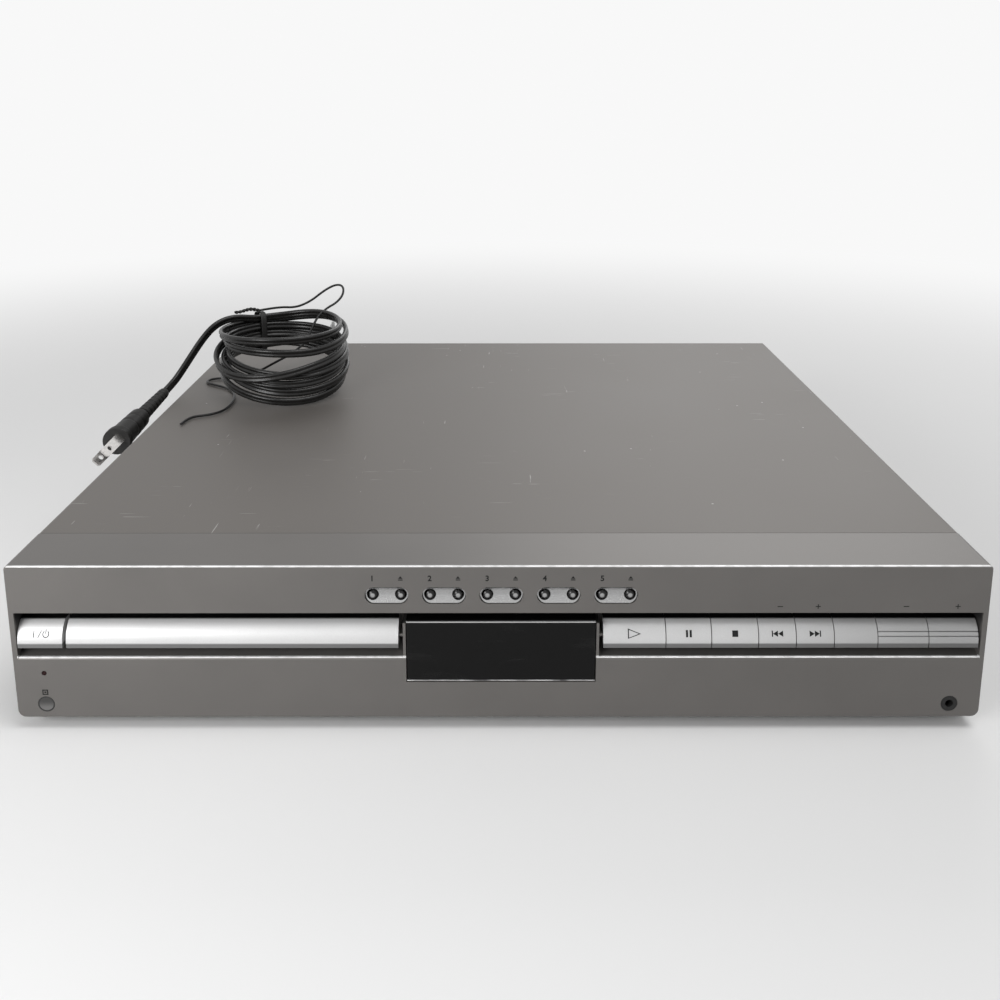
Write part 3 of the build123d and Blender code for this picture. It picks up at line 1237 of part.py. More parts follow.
def make_turntable():
    z0 = TRAY_Z0 - SEAM - SPINDLE_HEIGHT - TURNTABLE_T
    table = rod_z(MECH_X, WELL_Y, z0, z0 + TURNTABLE_T, TURNTABLE_R)
    spindle = rod_z(MECH_X, WELL_Y, z0 + TURNTABLE_T, z0 + TURNTABLE_T + SPINDLE_HEIGHT, SPINDLE_R)
    top = [e for e in spindle.edges().filter_by(GeomType.CIRCLE)
           if e.center().Z > z0 + TURNTABLE_T + 0.01]
    table += chamfer(top, SPINDLE_CHAMFER)
    shaft_z = BASE_Z - SPINDLE_BORE_DEPTH + PANEL_WALL / 5
    return table + rod_z(MECH_X, WELL_Y, shaft_z, z0, MOTOR_SHAFT_R)


def make_pickup():
    z0 = BASE_Z + BASE_T + SHEET / 2
    z1 = z0 + PICKUP_T
    half = PICKUP_LENGTH / 2
    body = block(MECH_X - PICKUP_HALF, MECH_X + PICKUP_HALF, PICKUP_Y - half, PICKUP_Y + half,
                 z0, z1)
    for side in (-1, 1):
        body -= rod_y(MECH_X + side * ROD_X, ROD_Z, PICKUP_Y - half, PICKUP_Y + half,
                      ROD_R + BORE_CLEARANCE)
    core = PICKUP_CORE_HALF
    body += block(MECH_X - core, MECH_X + core, PICKUP_Y - half, PICKUP_Y + half,
                  BASE_Z - PICKUP_CORE_DROP, z0)
    return body + rod_z(MECH_X, PICKUP_Y, z1, z1 + LENS_HEIGHT, LENS_R)


def make_clamp_puck():
    """Magnetic clamp puck that hangs in the bridge's hole."""
    under = MECH_TOP - BRIDGE_T
    top = under - PUCK_DROP
    cap_z = MECH_TOP + SLIDE_GAP
    puck = rod_z(MECH_X, WELL_Y, top - PUCK_T, top, PUCK_R)
    puck += rod_z(MECH_X, WELL_Y, top, cap_z, PUCK_NECK_R)
    return puck + rod_z(MECH_X, WELL_Y, cap_z, cap_z + PUCK_CAP, PUCK_CAP_R)


def coil_point(turn):
    """Centre of the cord after so many turns: tied at turn 0, 1, 2 and spread between."""
    phase = 2 * math.pi * turn
    angle = math.radians(TIE_ANGLE) + phase
    radius = COIL_R + COIL_SPREAD * math.cos(math.pi * turn)
    tied = (1 + math.cos(phase)) / 2
    height = tied * (TIE_LOW + TIE_PITCH * turn) + (1 - tied) * (FAN_LOW + FAN_PITCH * (turn - 0.5))
    return Vector(COIL_X + radius * math.cos(angle), COIL_Y + radius * math.sin(angle),
                  TOP_Z + height)


def coil_heading(turn):
    step = 0.001
    return (coil_point(turn + step) - coil_point(turn - step)).normalized()


def biarc(start, start_dir, end, end_dir):
    """Two arcs that leave start and reach end along the directions given."""
    chord = end - start
    both = start_dir + end_dir
    a = 2 * (1 - start_dir.dot(end_dir))
    b = 2 * chord.dot(both)
    c = -chord.dot(chord)
    reach = (-b + math.sqrt(b * b - 4 * a * c)) / (2 * a)
    joint = (start + end + (start_dir - end_dir) * reach) / 2
    first = Edge.make_tangent_arc(start, start_dir, joint)
    return [first, Edge.make_tangent_arc(joint, first % 1, end)]


def make_coil():
    """The tied coil, one unbroken tube on biarcs of a quarter turn."""
    quarters = 4 * COIL_TURNS
    edges = []
    for i in range(quarters):
        t0 = i / 4
        t1 = (i + 1) / 4
        edges += biarc(coil_point(t0), coil_heading(t0), coil_point(t1), coil_heading(t1))
    return tube("cord_coil", edges, CORD_R)


def tube(name, edges, radius):
    """Sweeps a round section along joined edges and checks its volume."""
    path = Wire(edges)
    section = Plane(origin=path @ 0, z_dir=path % 0) * Circle(radius)
    solid = sweep(section, path=path)
    ideal = math.pi * radius ** 2 * path.length
    radii = [round(e.radius, 1) for e in path.edges() if e.geom_type == GeomType.CIRCLE]
    print(name, "length", round(path.length, 1), "volume ratio", round(solid.volume / ideal, 4),
          "tightest arc", min(radii), "radii", radii if len(radii) < 40 else "")
    return solid


def coil_gap():
    """Least gap of the coil to itself, measured on points."""
    per_turn = 90
    points = [coil_point(i / per_turn) for i in range(per_turn * COIL_TURNS + 1)]
    least = 1e9
    for i, a in enumerate(points):
        for b in points[i + per_turn // 2:]:
            least = min(least, (a - b).length)
    return least - CORD_D


def route(points):
    """Straight runs joined by the largest tangent arcs that the runs allow."""
    places = [Vector(*p) for p in points]
    radii = []
    for before, here, after in zip(places, places[1:], places[2:]):
        turn = math.radians((here - before).get_angle(after - here))
        shorter = min((here - before).length, (after - here).length)
        radii.append(0.45 * shorter / math.tan(turn / 2))
    return FilletPolyline(*places, radius=radii).edges()


def gland_tip():
    return (GLAND_X, REAR_OUT_Y + GLAND_LENGTH, GLAND_Z)


def make_lead():
    """Cord from the rear gland, up over the rear edge to the foot of the coil."""
    last = coil_point(0)
    before = last - coil_heading(0) * 15.0
    on_cover = (COVER_REAR_Y - COIL_Y) / LEAD_REST
    points = [gland_tip()]
    for x, behind, height in LEAD_POINTS:
        y = COVER_REAR_Y + (behind if behind > 0 else behind * on_cover)
        points.append((x, y, TOP_Z + height))
    points += [tuple(before), tuple(last)]
    return tube("cord_lead", route(points), CORD_R)


def make_tail():
    """Cord from the top of the coil, down over the left edge to the plug."""
    first = coil_point(COIL_TURNS)
    after = first + coil_heading(COIL_TURNS) * 6.5
    end = plug_plane().origin
    before = end - plug_plane().z_dir * 11.0
    hanging = [(x, y, TOP_Z + height) for x, y, height in TAIL_POINTS]
    points = [tuple(first), tuple(after)] + hanging + [tuple(before), tuple(end)]
    return tube("cord_tail", route(points), CORD_R)


def make_gland():
    """Tapered strain relief through the rear panel."""
    tip = gland_tip()[1]
    section = Plane.XZ.offset(-REAR_OUT_Y) * Circle(GLAND_R)
    end = Plane.XZ.offset(-tip) * Circle(GLAND_TIP_R)
    relief = Pos(GLAND_X, 0, GLAND_Z) * loft([section, end])
    relief += rod_y(GLAND_X, GLAND_Z, REAR_OUT_Y, REAR_OUT_Y + GLAND_FLANGE,
                    GLAND_R + 2 * GLAND_STEP)
    relief += rod_y(GLAND_X, GLAND_Z, REAR_IN_Y, REAR_OUT_Y, GLAND_R - GLAND_STEP - SEAM / 2)
    return relief + rod_y(GLAND_X, GLAND_Z, REAR_IN_Y - GLAND_INSIDE, REAR_IN_Y,
                          GLAND_R + GLAND_STEP)


def plug_plane():
    """At the cord's end, Z along the plug and X square to the blades' faces."""
    axis = (Vector(*PLUG_TIP) - Vector(*PLUG_START)).normalized()
    facing = Vector(*PLUG_FACING)
    across = (facing - axis * facing.dot(axis)).normalized()
    x, y, height = PLUG_START
    return Plane(origin=(x, y, TOP_Z + height), x_dir=across, z_dir=axis)


def make_plug():
    """Moulded plug with its strain relief, and the two flat blades."""
    def section(height, width, thick, corner):
        return Plane.XY.offset(height) * RectangleRounded(width, thick, corner)

    neck = PLUG_RELIEF + PLUG_SHOULDER
    face = PLUG_RELIEF + PLUG_BODY
    waist = section(neck, PLUG_WIDTH - PLUG_WAIST_LESS, PLUG_THICK - PLUG_RIM_MORE, PLUG_CORNER)
    start = section(0, RELIEF_START_WIDTH, RELIEF_START_THICK, RELIEF_START_CORNER)
    end = section(PLUG_RELIEF, RELIEF_END_WIDTH, RELIEF_END_THICK, RELIEF_END_CORNER)
    relief = loft([start, end])
    collar = loft([section(PLUG_RELIEF, COLLAR_WIDTH, COLLAR_THICK, COLLAR_CORNER), waist])
    body = loft([waist, section(face, PLUG_WIDTH, PLUG_THICK, PLUG_CORNER)])
    rim = section(face - PLUG_FLANGE, PLUG_WIDTH + PLUG_RIM_MORE, PLUG_THICK + PLUG_RIM_MORE,
                  PLUG_RIM_CORNER)
    moulding = relief + collar + body + extrude(rim, PLUG_FLANGE)
    tip = face + BLADE_LENGTH
    blades = []
    for x in (-BLADE_GAP / 2, BLADE_GAP / 2):
        blade = Pos(x, 0, (face + tip) / 2) * Box(BLADE_T, BLADE_W, BLADE_LENGTH)
        ends = [e for e in blade.edges().filter_by(Axis.X) if e.center().Z > tip - 0.01]
        blade = chamfer(ends, BLADE_CHAMFER)
        hole = Pos(x, 0, tip - BLADE_HOLE_END) * Rot(0, 90, 0)
        blades.append(blade - hole * Cylinder(BLADE_HOLE_R, 2 * BLADE_T))
    place = plug_plane().location
    return place * moulding, [place * blade for blade in blades]


def make_tie():
    """Band round the bundle at the tie, square to the turns."""
    angle = math.radians(TIE_ANGLE)
    low = TIE_LOW - CORD_R - TIE_CLEARANCE
    high = TIE_LOW + TIE_PITCH * COIL_TURNS + CORD_R + TIE_CLEARANCE
    half = COIL_SPREAD + CORD_R + TIE_CLEARANCE
    middle = (low + high) / 2
    plane = Plane(origin=(COIL_X + COIL_R * math.cos(angle), COIL_Y + COIL_R * math.sin(angle),
                          TOP_Z + middle),
                  x_dir=(math.cos(angle), math.sin(angle), 0),
                  z_dir=(-math.sin(angle), math.cos(angle), 0))
    outer = RectangleRounded(2 * (half + TIE_T), high - low + 2 * TIE_T, half)
    inner = RectangleRounded(2 * half, high - low, half - TIE_T)
    return extrude(plane * (outer - inner), TIE_WIDTH / 2, both=True)


def make_wire():
    """Thin wire twisted on at the tie, laid through the coil and out on the cover."""
    angle = math.radians(TIE_ANGLE)
    top = TOP_Z + TIE_LOW + TIE_PITCH * COIL_TURNS + CORD_R + TIE_CLEARANCE + TIE_T
    start = (COIL_X + COIL_R * math.cos(angle), COIL_Y + COIL_R * math.sin(angle),
             top + WIRE_R + SEAM / 3)
    laid = [(x, y, TOP_Z + height) for x, y, height in WIRE_POINTS]
    return tube("tie_wire", route([start] + laid), WIRE_R)


def main():
    os.makedirs("parts", exist_ok=True)
    save("front_panel", make_front_panel())
    save("display_window", make_window())
    save("display_tube", make_display_tube())
    save("disc_button_bezels", *make_bezels())
    for name, x0, x1 in strip_buttons():
        save(name, make_strip_button(name, x0, x1))
    for slot in range(DISC_SLOTS):
        save(f"disc_{slot + 1}_button", make_dome(disc_x(slot) - DOME_OFFSET))
        save(f"eject_{slot + 1}_button", make_dome(disc_x(slot) + DOME_OFFSET))
    save("front_circuit_board", *make_front_boards())
    save("headphone_jack", make_headphone_jack())
    save("remote_window", make_round_insert(REMOTE_X, LOW_ROW_Z, ROUND_INSERT_R, 0))
    pipe = BOARD_Y - FRONT_Y - PANEL_WALL - SEAM
    save("standby_lens", make_round_insert(STANDBY_X, STANDBY_Z, STANDBY_R, pipe))
    save("top_cover", make_cover())
    save("cover_screws", *make_screws())
    save("chassis_pan", make_pan())
    save("feet", *make_feet())
    save("rear_panel", make_rear_panel())
    save("rear_jacks", *make_rear_jacks())
    save("speaker_sockets", *make_speaker_sockets())
    save("aerial_terminals", make_aerial_terminals())
    save("main_board", *make_main_board())
    save("power_board", *make_power_board())
    save("transformer", make_transformer())
    save("heatsink", make_heatsink())
    frame, rotor = make_fan()
    save("fan_frame", frame)
    save("fan_rotor", rotor)
    save("mechanism_frame", make_mechanism_frame())
    save("disc_drawer", make_drawer())
    save("drawer_gear", make_gear(PINION_TEETH, PINION_X, PINION_Y, STEM_R + BORE_CLEARANCE, 0))
    save("motor_gear", make_gear(MOTOR_TEETH, MOTOR_X, PINION_Y,
                                 MOTOR_SHAFT_R + BORE_CLEARANCE, 180 / MOTOR_TEETH))
    save("loading_motor", make_loading_motor())
    save("disc_stocker", *make_stocker())
    save("base_unit", make_base_unit())
    save("guide_rods", *make_guide_rods())
    save("turntable", make_turntable())
    save("optical_pickup", make_pickup())
    save("clamp_puck", make_clamp_puck())
    save("strain_relief", make_gland())
    save("cord_lead", make_lead())
    save("cord_coil", make_coil())
    save("cord_tail", make_tail())
    moulding, blades = make_plug()
    save("plug_body", moulding)
    save("plug_blades", *blades)
    save("cord_tie", make_tie())
    save("tie_wire", make_wire())
    print("coil gap to itself", round(coil_gap(), 2))


if __name__ == "__main__":
    main()
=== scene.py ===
import math

import bmesh
import bpy
from mathutils import Matrix, Vector


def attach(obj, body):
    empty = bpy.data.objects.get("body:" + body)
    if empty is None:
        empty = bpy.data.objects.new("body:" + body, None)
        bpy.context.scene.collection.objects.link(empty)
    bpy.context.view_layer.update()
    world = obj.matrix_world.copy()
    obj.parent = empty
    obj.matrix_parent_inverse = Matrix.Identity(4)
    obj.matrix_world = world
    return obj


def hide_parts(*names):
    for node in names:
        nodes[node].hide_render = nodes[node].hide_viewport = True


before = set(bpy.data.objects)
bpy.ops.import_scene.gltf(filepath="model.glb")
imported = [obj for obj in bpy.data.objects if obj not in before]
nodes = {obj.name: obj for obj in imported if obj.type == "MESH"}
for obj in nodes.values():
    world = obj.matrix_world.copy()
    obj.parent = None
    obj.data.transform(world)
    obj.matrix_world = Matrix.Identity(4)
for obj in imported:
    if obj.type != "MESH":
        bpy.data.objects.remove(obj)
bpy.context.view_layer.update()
bpy.ops.object.select_all(action="DESELECT")

# The photographer's view: a hand-held camera close in front of the console, a little above it
# and looking down on the cover, with the console low in the picture.
CAMERA_PLACE = (0.00011, -0.6233, 0.28241)
CAMERA_LENS = 37.52
CAMERA_SHIFT = -0.19
CAMERA_DOWN = 12.13
CAMERA_RIGHT = 0.066

camera_data = bpy.data.cameras.new("camera")
camera_data.lens = CAMERA_LENS
camera_data.shift_y = CAMERA_SHIFT
camera = bpy.data.objects.new("camera", camera_data)
camera.location = CAMERA_PLACE
camera.rotation_euler = (math.radians(90 - CAMERA_DOWN), 0, math.radians(-CAMERA_RIGHT))
bpy.context.scene.collection.objects.link(camera)
bpy.context.scene.camera = camera
bpy.context.scene.view_settings.view_transform = "Standard"


# Mains cord: black two-core flat cord, a moulded jacket with a groove between the cores.
# It leaves the gland, climbs over the rear edge, goes seven times round and ends in the plug.
class Wire:
    """A node's output, so that shader maths is written as plain maths."""

    def __init__(self, finish, socket):
        self.finish = finish
        self.socket = socket

    def maths(self, operation, *values):
        return self.finish.node("ShaderNodeMath", {"operation": operation},
                                dict(enumerate(values)))

    def __add__(self, other):
        return self.maths("ADD", self, other)

    __radd__ = __add__

    def __sub__(self, other):
        return self.maths("SUBTRACT", self, other)

    def __rsub__(self, other):
        return self.maths("SUBTRACT", other, self)

    def __mul__(self, other):
        return self.maths("MULTIPLY", self, other)

    __rmul__ = __mul__

    def __gt__(self, other):
        return self.maths("GREATER_THAN", self, other)

    def __lt__(self, other):
        return self.maths("LESS_THAN", self, other)

    def __abs__(self):
        return self.maths("ABSOLUTE", self)

    def rise(self, low, high):
        """0 below low and 1 above high, with a smooth step between."""
        return self.finish.node("ShaderNodeMapRange", {"interpolation_type": "SMOOTHSTEP"},
                                {0: self, 1: low, 2: high})

    def away(self, other):
        """The length of a line that goes this far one way and other the other way."""
        return self.maths("SQRT", self * self + other * other)

    def in_row(self, first, pitch):
        """How far it lies past the nearest place of a row of places that starts at first."""
        return self.maths("FLOORED_MODULO", self - (first - pitch / 2), pitch) - pitch / 2


class Finish:
    """A surface finish: a Principled shader, and the nodes that vary it over the piece."""

    def __init__(self, name, **shader):
        self.material = bpy.data.materials.new(name)
        self.material.use_nodes = True
        self.tree = self.material.node_tree
        self.shader = self.tree.nodes["Principled BSDF"]
        for socket, value in shader.items():
            self.shader.inputs[socket.replace("_", " ")].default_value = value
        self.place = self.node("ShaderNodeTexCoord", {}, {}, "Object")

    def node(self, kind, settings, sockets, output=0):
        made = self.tree.nodes.new(kind)
        for setting, value in settings.items():
            setattr(made, setting, value)
        for socket, value in sockets.items():
            if isinstance(value, Wire):
                self.tree.links.new(value.socket, made.inputs[socket])
            else:
                made.inputs[socket].default_value = value
        return Wire(self, made.outputs[output])

    def stretched(self, x, y, z):
        """The place on the piece, in metres, stretched along each axis."""
        return self.node("ShaderNodeMapping", {}, {"Vector": self.place, "Scale": (x, y, z)})

    def noise(self, size, detail=3.0, rough=0.5, at=None):
        """Cloudy noise from 0 to 1 whose blots are about size metres."""
        return self.node("ShaderNodeTexNoise", {},
                         {"Vector": at or self.place, "Scale": 1 / size, "Detail": detail,
                          "Roughness": rough})

    def mix(self, share, first, second):
        return self.node("ShaderNodeMix", {"data_type": "RGBA"}, {0: share, 6: first, 7: second}, 2)

    def feed(self, socket, value):
        self.tree.links.new(value.socket, self.shader.inputs[socket])

    def bumps(self, height, depth, strength=1.0):
        """Raises the surface by height, from 0 to 1, times depth in metres."""
        self.feed("Normal", self.node("ShaderNodeBump", {}, {"Height": height, "Distance": depth,
                                                              "Strength": strength}))

    def axes(self):
        """The place on the piece along each axis, in metres."""
        split = self.node("ShaderNodeSeparateXYZ", {}, {0: self.place})
        return [Wire(self, output) for output in split.socket.node.outputs]

    def put_on(self, *objects):
        for piece in objects:
            piece.data.materials.clear()
            piece.data.materials.append(self.material)
            for face in piece.data.polygons:
                face.material_index = 0


def grey(level, warm=1.0):
    """A neutral colour, a touch yellower where warm is above 1."""
    return (level * warm, level, level / warm, 1.0)


TOP_Z = 0.079
COIL_X, COIL_Y, COIL_R, COIL_SPREAD, COIL_TURNS = -0.145, 0.063, 0.041, 0.0022, 7
TIE_ANGLE, TIE_LOW, TIE_PITCH, FAN_LOW, FAN_PITCH = 125.0, 0.023, 0.00295, 0.0029, 0.0057
POINTS_PER_TURN = 16
GLAND_TIP = (-0.150, 0.218, 0.027)
PLUG_START = (-0.222, 0.043, 0.0835)
PLUG_TIP = (-0.245, -0.025, 0.0585)
LEAD_POINTS = [
    (-0.150, 0.230, 0.027), (-0.149, 0.244, 0.035), (-0.147, 0.252, 0.049),
    (-0.1445, 0.252, 0.065), (-0.142, 0.244, 0.079), (-0.1395, 0.230, 0.0873),
    (-0.1368, 0.213, 0.0895), (-0.1344, 0.195, 0.0887), (-0.1325, 0.176, 0.0882),
    (-0.132, 0.157, 0.091), (-0.1345, 0.1385, 0.096), (-0.142, 0.1215, 0.1006),
]
TAIL_POINTS = [
    (-0.1812, 0.0851, 0.1247), (-0.1889, 0.0796, 0.1244), (-0.1963, 0.0745, 0.1205),
    (-0.203, 0.0703, 0.1125), (-0.2093, 0.0662, 0.1028), (-0.2146, 0.0606, 0.094),
]
CORD_WIDTH, CORD_THICK = 0.0054, 0.0030
# How the turns lie off their even places: turn, where along it this starts, peaks and ends,
# then the rise and the way out in millimetres
LOOSE_TURNS = [(turn, 0.42, 0.72, 0.96, 2.4, 0.0) for turn in range(5)] + [
    (1, 0.04, 0.34, 0.60, 0.0, -1.6), (2, 0.04, 0.34, 0.58, 0.0, -2.0),
    (3, 0.10, 0.34, 0.54, 0.0, -3.0), (4, 0.04, 0.30, 0.54, -8.4, 0.0),
    (4, 0.00, 0.27, 0.62, 0.0, 4.2), (5, 0.05, 0.40, 0.74, 4.4, 0.0),
    (5, 0.48, 0.78, 0.98, 7.0, 0.0), (6, 0.02, 0.44, 0.84, 6.6, -2.5),
    (6, 0.50, 0.80, 0.98, 5.4, -1.5),
]


def bump(value, low, middle, high):
    """0 outside low to high and 1 at the middle, smooth at both ends."""
    share = (value - low) / (middle - low) if value < middle else (high - value) / (high - middle)
    share = max(0.0, min(1.0, share))
    return share * share * (3 - 2 * share)


def coil_point(turn):
    """Centre of the cord after so many turns: tied at turn 0, 1, 2 and spread between."""
    phase = 2 * math.pi * turn
    angle = math.radians(TIE_ANGLE) + phase
    radius = COIL_R + COIL_SPREAD * math.cos(math.pi * turn)
    tied = (1 + math.cos(phase)) / 2
    height = tied * (TIE_LOW + TIE_PITCH * turn) + (1 - tied) * (FAN_LOW + FAN_PITCH * (turn - 0.5))
    for loose, start, peak, end, rise, outward in LOOSE_TURNS:
        share = bump(turn - loose, start, peak, end)
        height += share * rise / 1000
        radius += share * outward / 1000
    return Vector((COIL_X + radius * math.cos(angle), COIL_Y + radius * math.sin(angle),
                   TOP_Z + height))


def smooth_line(name, points):
    """An open NURBS spline with these control points, and the points along it."""
    data = bpy.data.curves.new(name, "CURVE")
    data.dimensions = "3D"
    spline = data.splines.new("NURBS")
    spline.points.add(len(points) - 1)
    for control, place in zip(spline.points, points):
        control.co = (*place, 1)
    spline.order_u = 3
    spline.use_endpoint_u = True
    spline.resolution_u = 6
    curve = bpy.data.objects.new(name, data)
    bpy.context.scene.collection.objects.link(curve)
    bpy.context.view_layer.update()
    line = bpy.data.meshes.new_from_object(curve)
    places = [vertex.co.copy() for vertex in line.vertices]
    bpy.data.meshes.remove(line)
    return curve, places


def link_mesh(name, vertices, faces):
    """A new piece from vertices and faces, shaded smooth."""
    mesh = bpy.data.meshes.new(name)
    mesh.from_pydata([tuple(v) for v in vertices], [], faces)
    mesh.validate()
    mesh.shade_smooth()
    piece = bpy.data.objects.new(name, mesh)
    bpy.context.scene.collection.objects.link(piece)
    return piece


def sweep_section(name, places, sides, section):
    """A closed tube: the section, a list of (along side, across) pairs, at every place."""
    vertices = []
    for i, place in enumerate(places):
        ahead = (places[min(i + 1, len(places) - 1)] - places[max(i - 1, 0)]).normalized()
        side = (sides[i] - ahead * sides[i].dot(ahead)).normalized()
        across = ahead.cross(side)
        vertices += [place + side * u + across * v for u, v in section]
    count = len(section)
    faces = []
    for ring in range(len(places) - 1):
        for k in range(count):
            a = ring * count + k
            b = ring * count + (k + 1) % count
            faces.append((a, b, b + count, a + count))
    faces.append(tuple(reversed(range(count))))
    faces.append(tuple(range((len(places) - 1) * count, len(places) * count)))
    piece = link_mesh(name, vertices, faces)
    bpy.context.view_layer.objects.active = piece
    piece.select_set(True)
    bpy.ops.object.mode_set(mode="EDIT")
    bpy.ops.mesh.select_all(action="SELECT")
    bpy.ops.mesh.normals_make_consistent(inside=False)
    bpy.ops.object.mode_set(mode="OBJECT")
    piece.select_set(False)
    return piece


coil_start, coil_end = coil_point(0), coil_point(COIL_TURNS)
A_LITTLE = 0.001
LEAD_RUN_IN, TAIL_RUN_OUT, PLUG_RUN_IN = 0.015, 0.0065, 0.011
into_coil = (coil_point(A_LITTLE) - coil_point(-A_LITTLE)).normalized()
out_of_coil = (coil_point(COIL_TURNS + A_LITTLE) - coil_point(COIL_TURNS - A_LITTLE)).normalized()
plug_axis = (Vector(PLUG_TIP) - Vector(PLUG_START)).normalized()
cord_route = [GLAND_TIP, *LEAD_POINTS, coil_start - into_coil * LEAD_RUN_IN]
cord_route += [coil_point(i / POINTS_PER_TURN) for i in range(POINTS_PER_TURN * COIL_TURNS + 1)]
cord_route += [coil_end + out_of_coil * TAIL_RUN_OUT, *TAIL_POINTS,
               Vector(PLUG_START) - plug_axis * PLUG_RUN_IN, PLUG_START]
cord_curve, cord_line = smooth_line("cord_route", cord_route)
bpy.data.objects.remove(cord_curve)

cord_travel = [0.0]
for here, there in zip(cord_line, cord_line[1:]):
    cord_travel.append(cord_travel[-1] + (there - here).length)
cord_sides = [None] * len(cord_line)
coil_first = min(range(len(cord_line)), key=lambda i: (cord_line[i] - coil_start).length)
coil_last = min(range(len(cord_line)), key=lambda i: (cord_line[i] - coil_end).length)
CORD_ROLL, ROLL_RATE = 0.30, 21.0
for i in range(coil_first, coil_last + 1):
    lean = CORD_ROLL * math.sin(cord_travel[i] * ROLL_RATE)
    outward = (cord_line[i] - Vector((COIL_X, COIL_Y, cord_line[i].z))).normalized()
    cord_sides[i] = Vector((0, 0, 1)) * math.cos(lean) + outward * math.sin(lean)


def carry_side(indices):
    """Carries the wide side along the cord without twisting it."""
    for before, here in zip(indices, indices[1:]):
        side = cord_sides[before]
        ahead = (cord_line[here] - cord_line[before]).normalized()
        cord_sides[here] = (side - ahead * side.dot(ahead)).normalized()


carry_side(list(range(coil_first, -1, -1)))
carry_side(list(range(coil_last, len(cord_line))))

cord_section = []
CORE_R = CORD_THICK / 2
CORE_X = CORD_WIDTH / 2 - CORE_R
SHOULDER_IN, SHOULDER_DOWN, GROOVE_DOWN = 0.00075, 0.00032, 0.00050
ARC_STEPS = 8
for side in (1, -1):
    for k in range(ARC_STEPS + 1):
        turn = math.radians(-90 + 180 / ARC_STEPS * k)
        cord_section.append((side * (CORE_X + CORE_R * math.cos(turn)),
                             side * CORE_R * math.sin(turn)))
    cord_section.append((side * (CORE_X - SHOULDER_IN), side * (CORE_R - SHOULDER_DOWN)))
    cord_section.append((0.0, side * (CORE_R - GROOVE_DOWN)))
    cord_section.append((-side * (CORE_X - SHOULDER_IN), side * (CORE_R - SHOULDER_DOWN)))
cord = sweep_section("mains_cord", cord_line, cord_sides, cord_section)

jacket = Finish("black cord jacket", Roughness=0.3, Specular_IOR_Level=0.35)
jacket_cloud = jacket.noise(0.006, 4)
jacket_grain = jacket.noise(0.0007, 2)
jacket.feed("Base Color", jacket.mix(jacket_cloud, grey(0.004, 1.03), grey(0.013, 1.04)))
jacket.feed("Roughness", 0.20 + jacket_cloud * 0.16)
jacket.bumps(jacket_grain, 0.00008, 0.5)
jacket.put_on(cord)
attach(cord, "casing")
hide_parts("cord_lead", "cord_coil", "cord_tail")


# Strain relief at the rear panel: soft black rubber, moulded on the cord with ring-shaped
# grooves, and pressed through the sheet.
def poly_faces(piece, pick):
    """Selects in edit mode the faces that pick(face) says yes to."""
    bpy.ops.mesh.select_all(action="DESELECT")
    shape = bmesh.from_edit_mesh(piece.data)
    shape.normal_update()
    for face in [face for face in shape.faces if pick(face)]:
        face.select_set(True)
    bmesh.update_edit_mesh(piece.data)


ROUNDING = 1e-6


def stations(name, corners, rings):
    """A round or oval bar along +Z: a cylinder whose end is extruded through the rings.

    Each ring is (height, width, depth), and the end keeps its centre on the axis."""
    first, second = rings[:2]
    halfway = (first[0] + second[0]) / 2
    bpy.ops.mesh.primitive_cylinder_add(vertices=corners, radius=0.5, depth=second[0] - first[0],
                                        location=(0, 0, halfway))
    piece = bpy.context.object
    piece.name = name
    piece.data.name = name
    bpy.ops.object.transform_apply(location=True)
    for vertex in piece.data.vertices:
        ring = first if vertex.co.z < halfway else second
        vertex.co.x *= ring[1]
        vertex.co.y *= ring[2]
    bpy.ops.object.mode_set(mode="EDIT")
    for before, here in zip(rings[1:], rings[2:]):
        top = before[0] - ROUNDING
        poly_faces(piece, lambda face: face.normal.z > 0.9 and face.calc_center_median().z > top)
        bpy.ops.mesh.extrude_region_move(
            TRANSFORM_OT_translate={"value": (0, 0, here[0] - before[0])})
        bpy.ops.transform.resize(value=(here[1] / before[1], here[2] / before[2], 1))
    bpy.ops.object.mode_set(mode="OBJECT")
    piece.select_set(False)
    return piece


def lay_along(piece, origin, axis, across):
    """Moves a piece made along +Z so that it stands at origin along axis."""
    side = (across - axis * across.dot(axis)).normalized()
    turn = Matrix((side, axis.cross(side), axis)).transposed().to_4x4()
    piece.data.transform(Matrix.Translation(origin) @ turn)
    piece.data.update()


def soften(piece, width, segments=2, angle=35.0):
    """Bevels the sharp edges of a piece, applied, and shades it smooth."""
    bevel = piece.modifiers.new("edges", "BEVEL")
    bevel.width = width
    bevel.segments = segments
    bevel.limit_method = "ANGLE"
    bevel.angle_limit = math.radians(angle)
    bpy.context.view_layer.objects.active = piece
    bpy.ops.object.modifier_apply(modifier=bevel.name)
    piece.data.shade_smooth()


RIB_END, GROOVE_START, GROOVE_END = 0.62, 0.70, 0.92


def ribbed(start, end, count, start_size, end_size, groove):
    """Rings of a tapered relief with count raised ribs and grooves between them."""
    rings = []
    for k in range(count):
        for part, cut in ((0, 0), (RIB_END, 0), (GROOVE_START, groove), (GROOVE_END, groove)):
            share = (k + part) / count
            width = start_size[0] + (end_size[0] - start_size[0]) * share - 2 * cut
            depth = start_size[1] + (end_size[1] - start_size[1]) * share - 2 * cut
            rings.append((start + (end - start) * share, width, depth))
    return rings


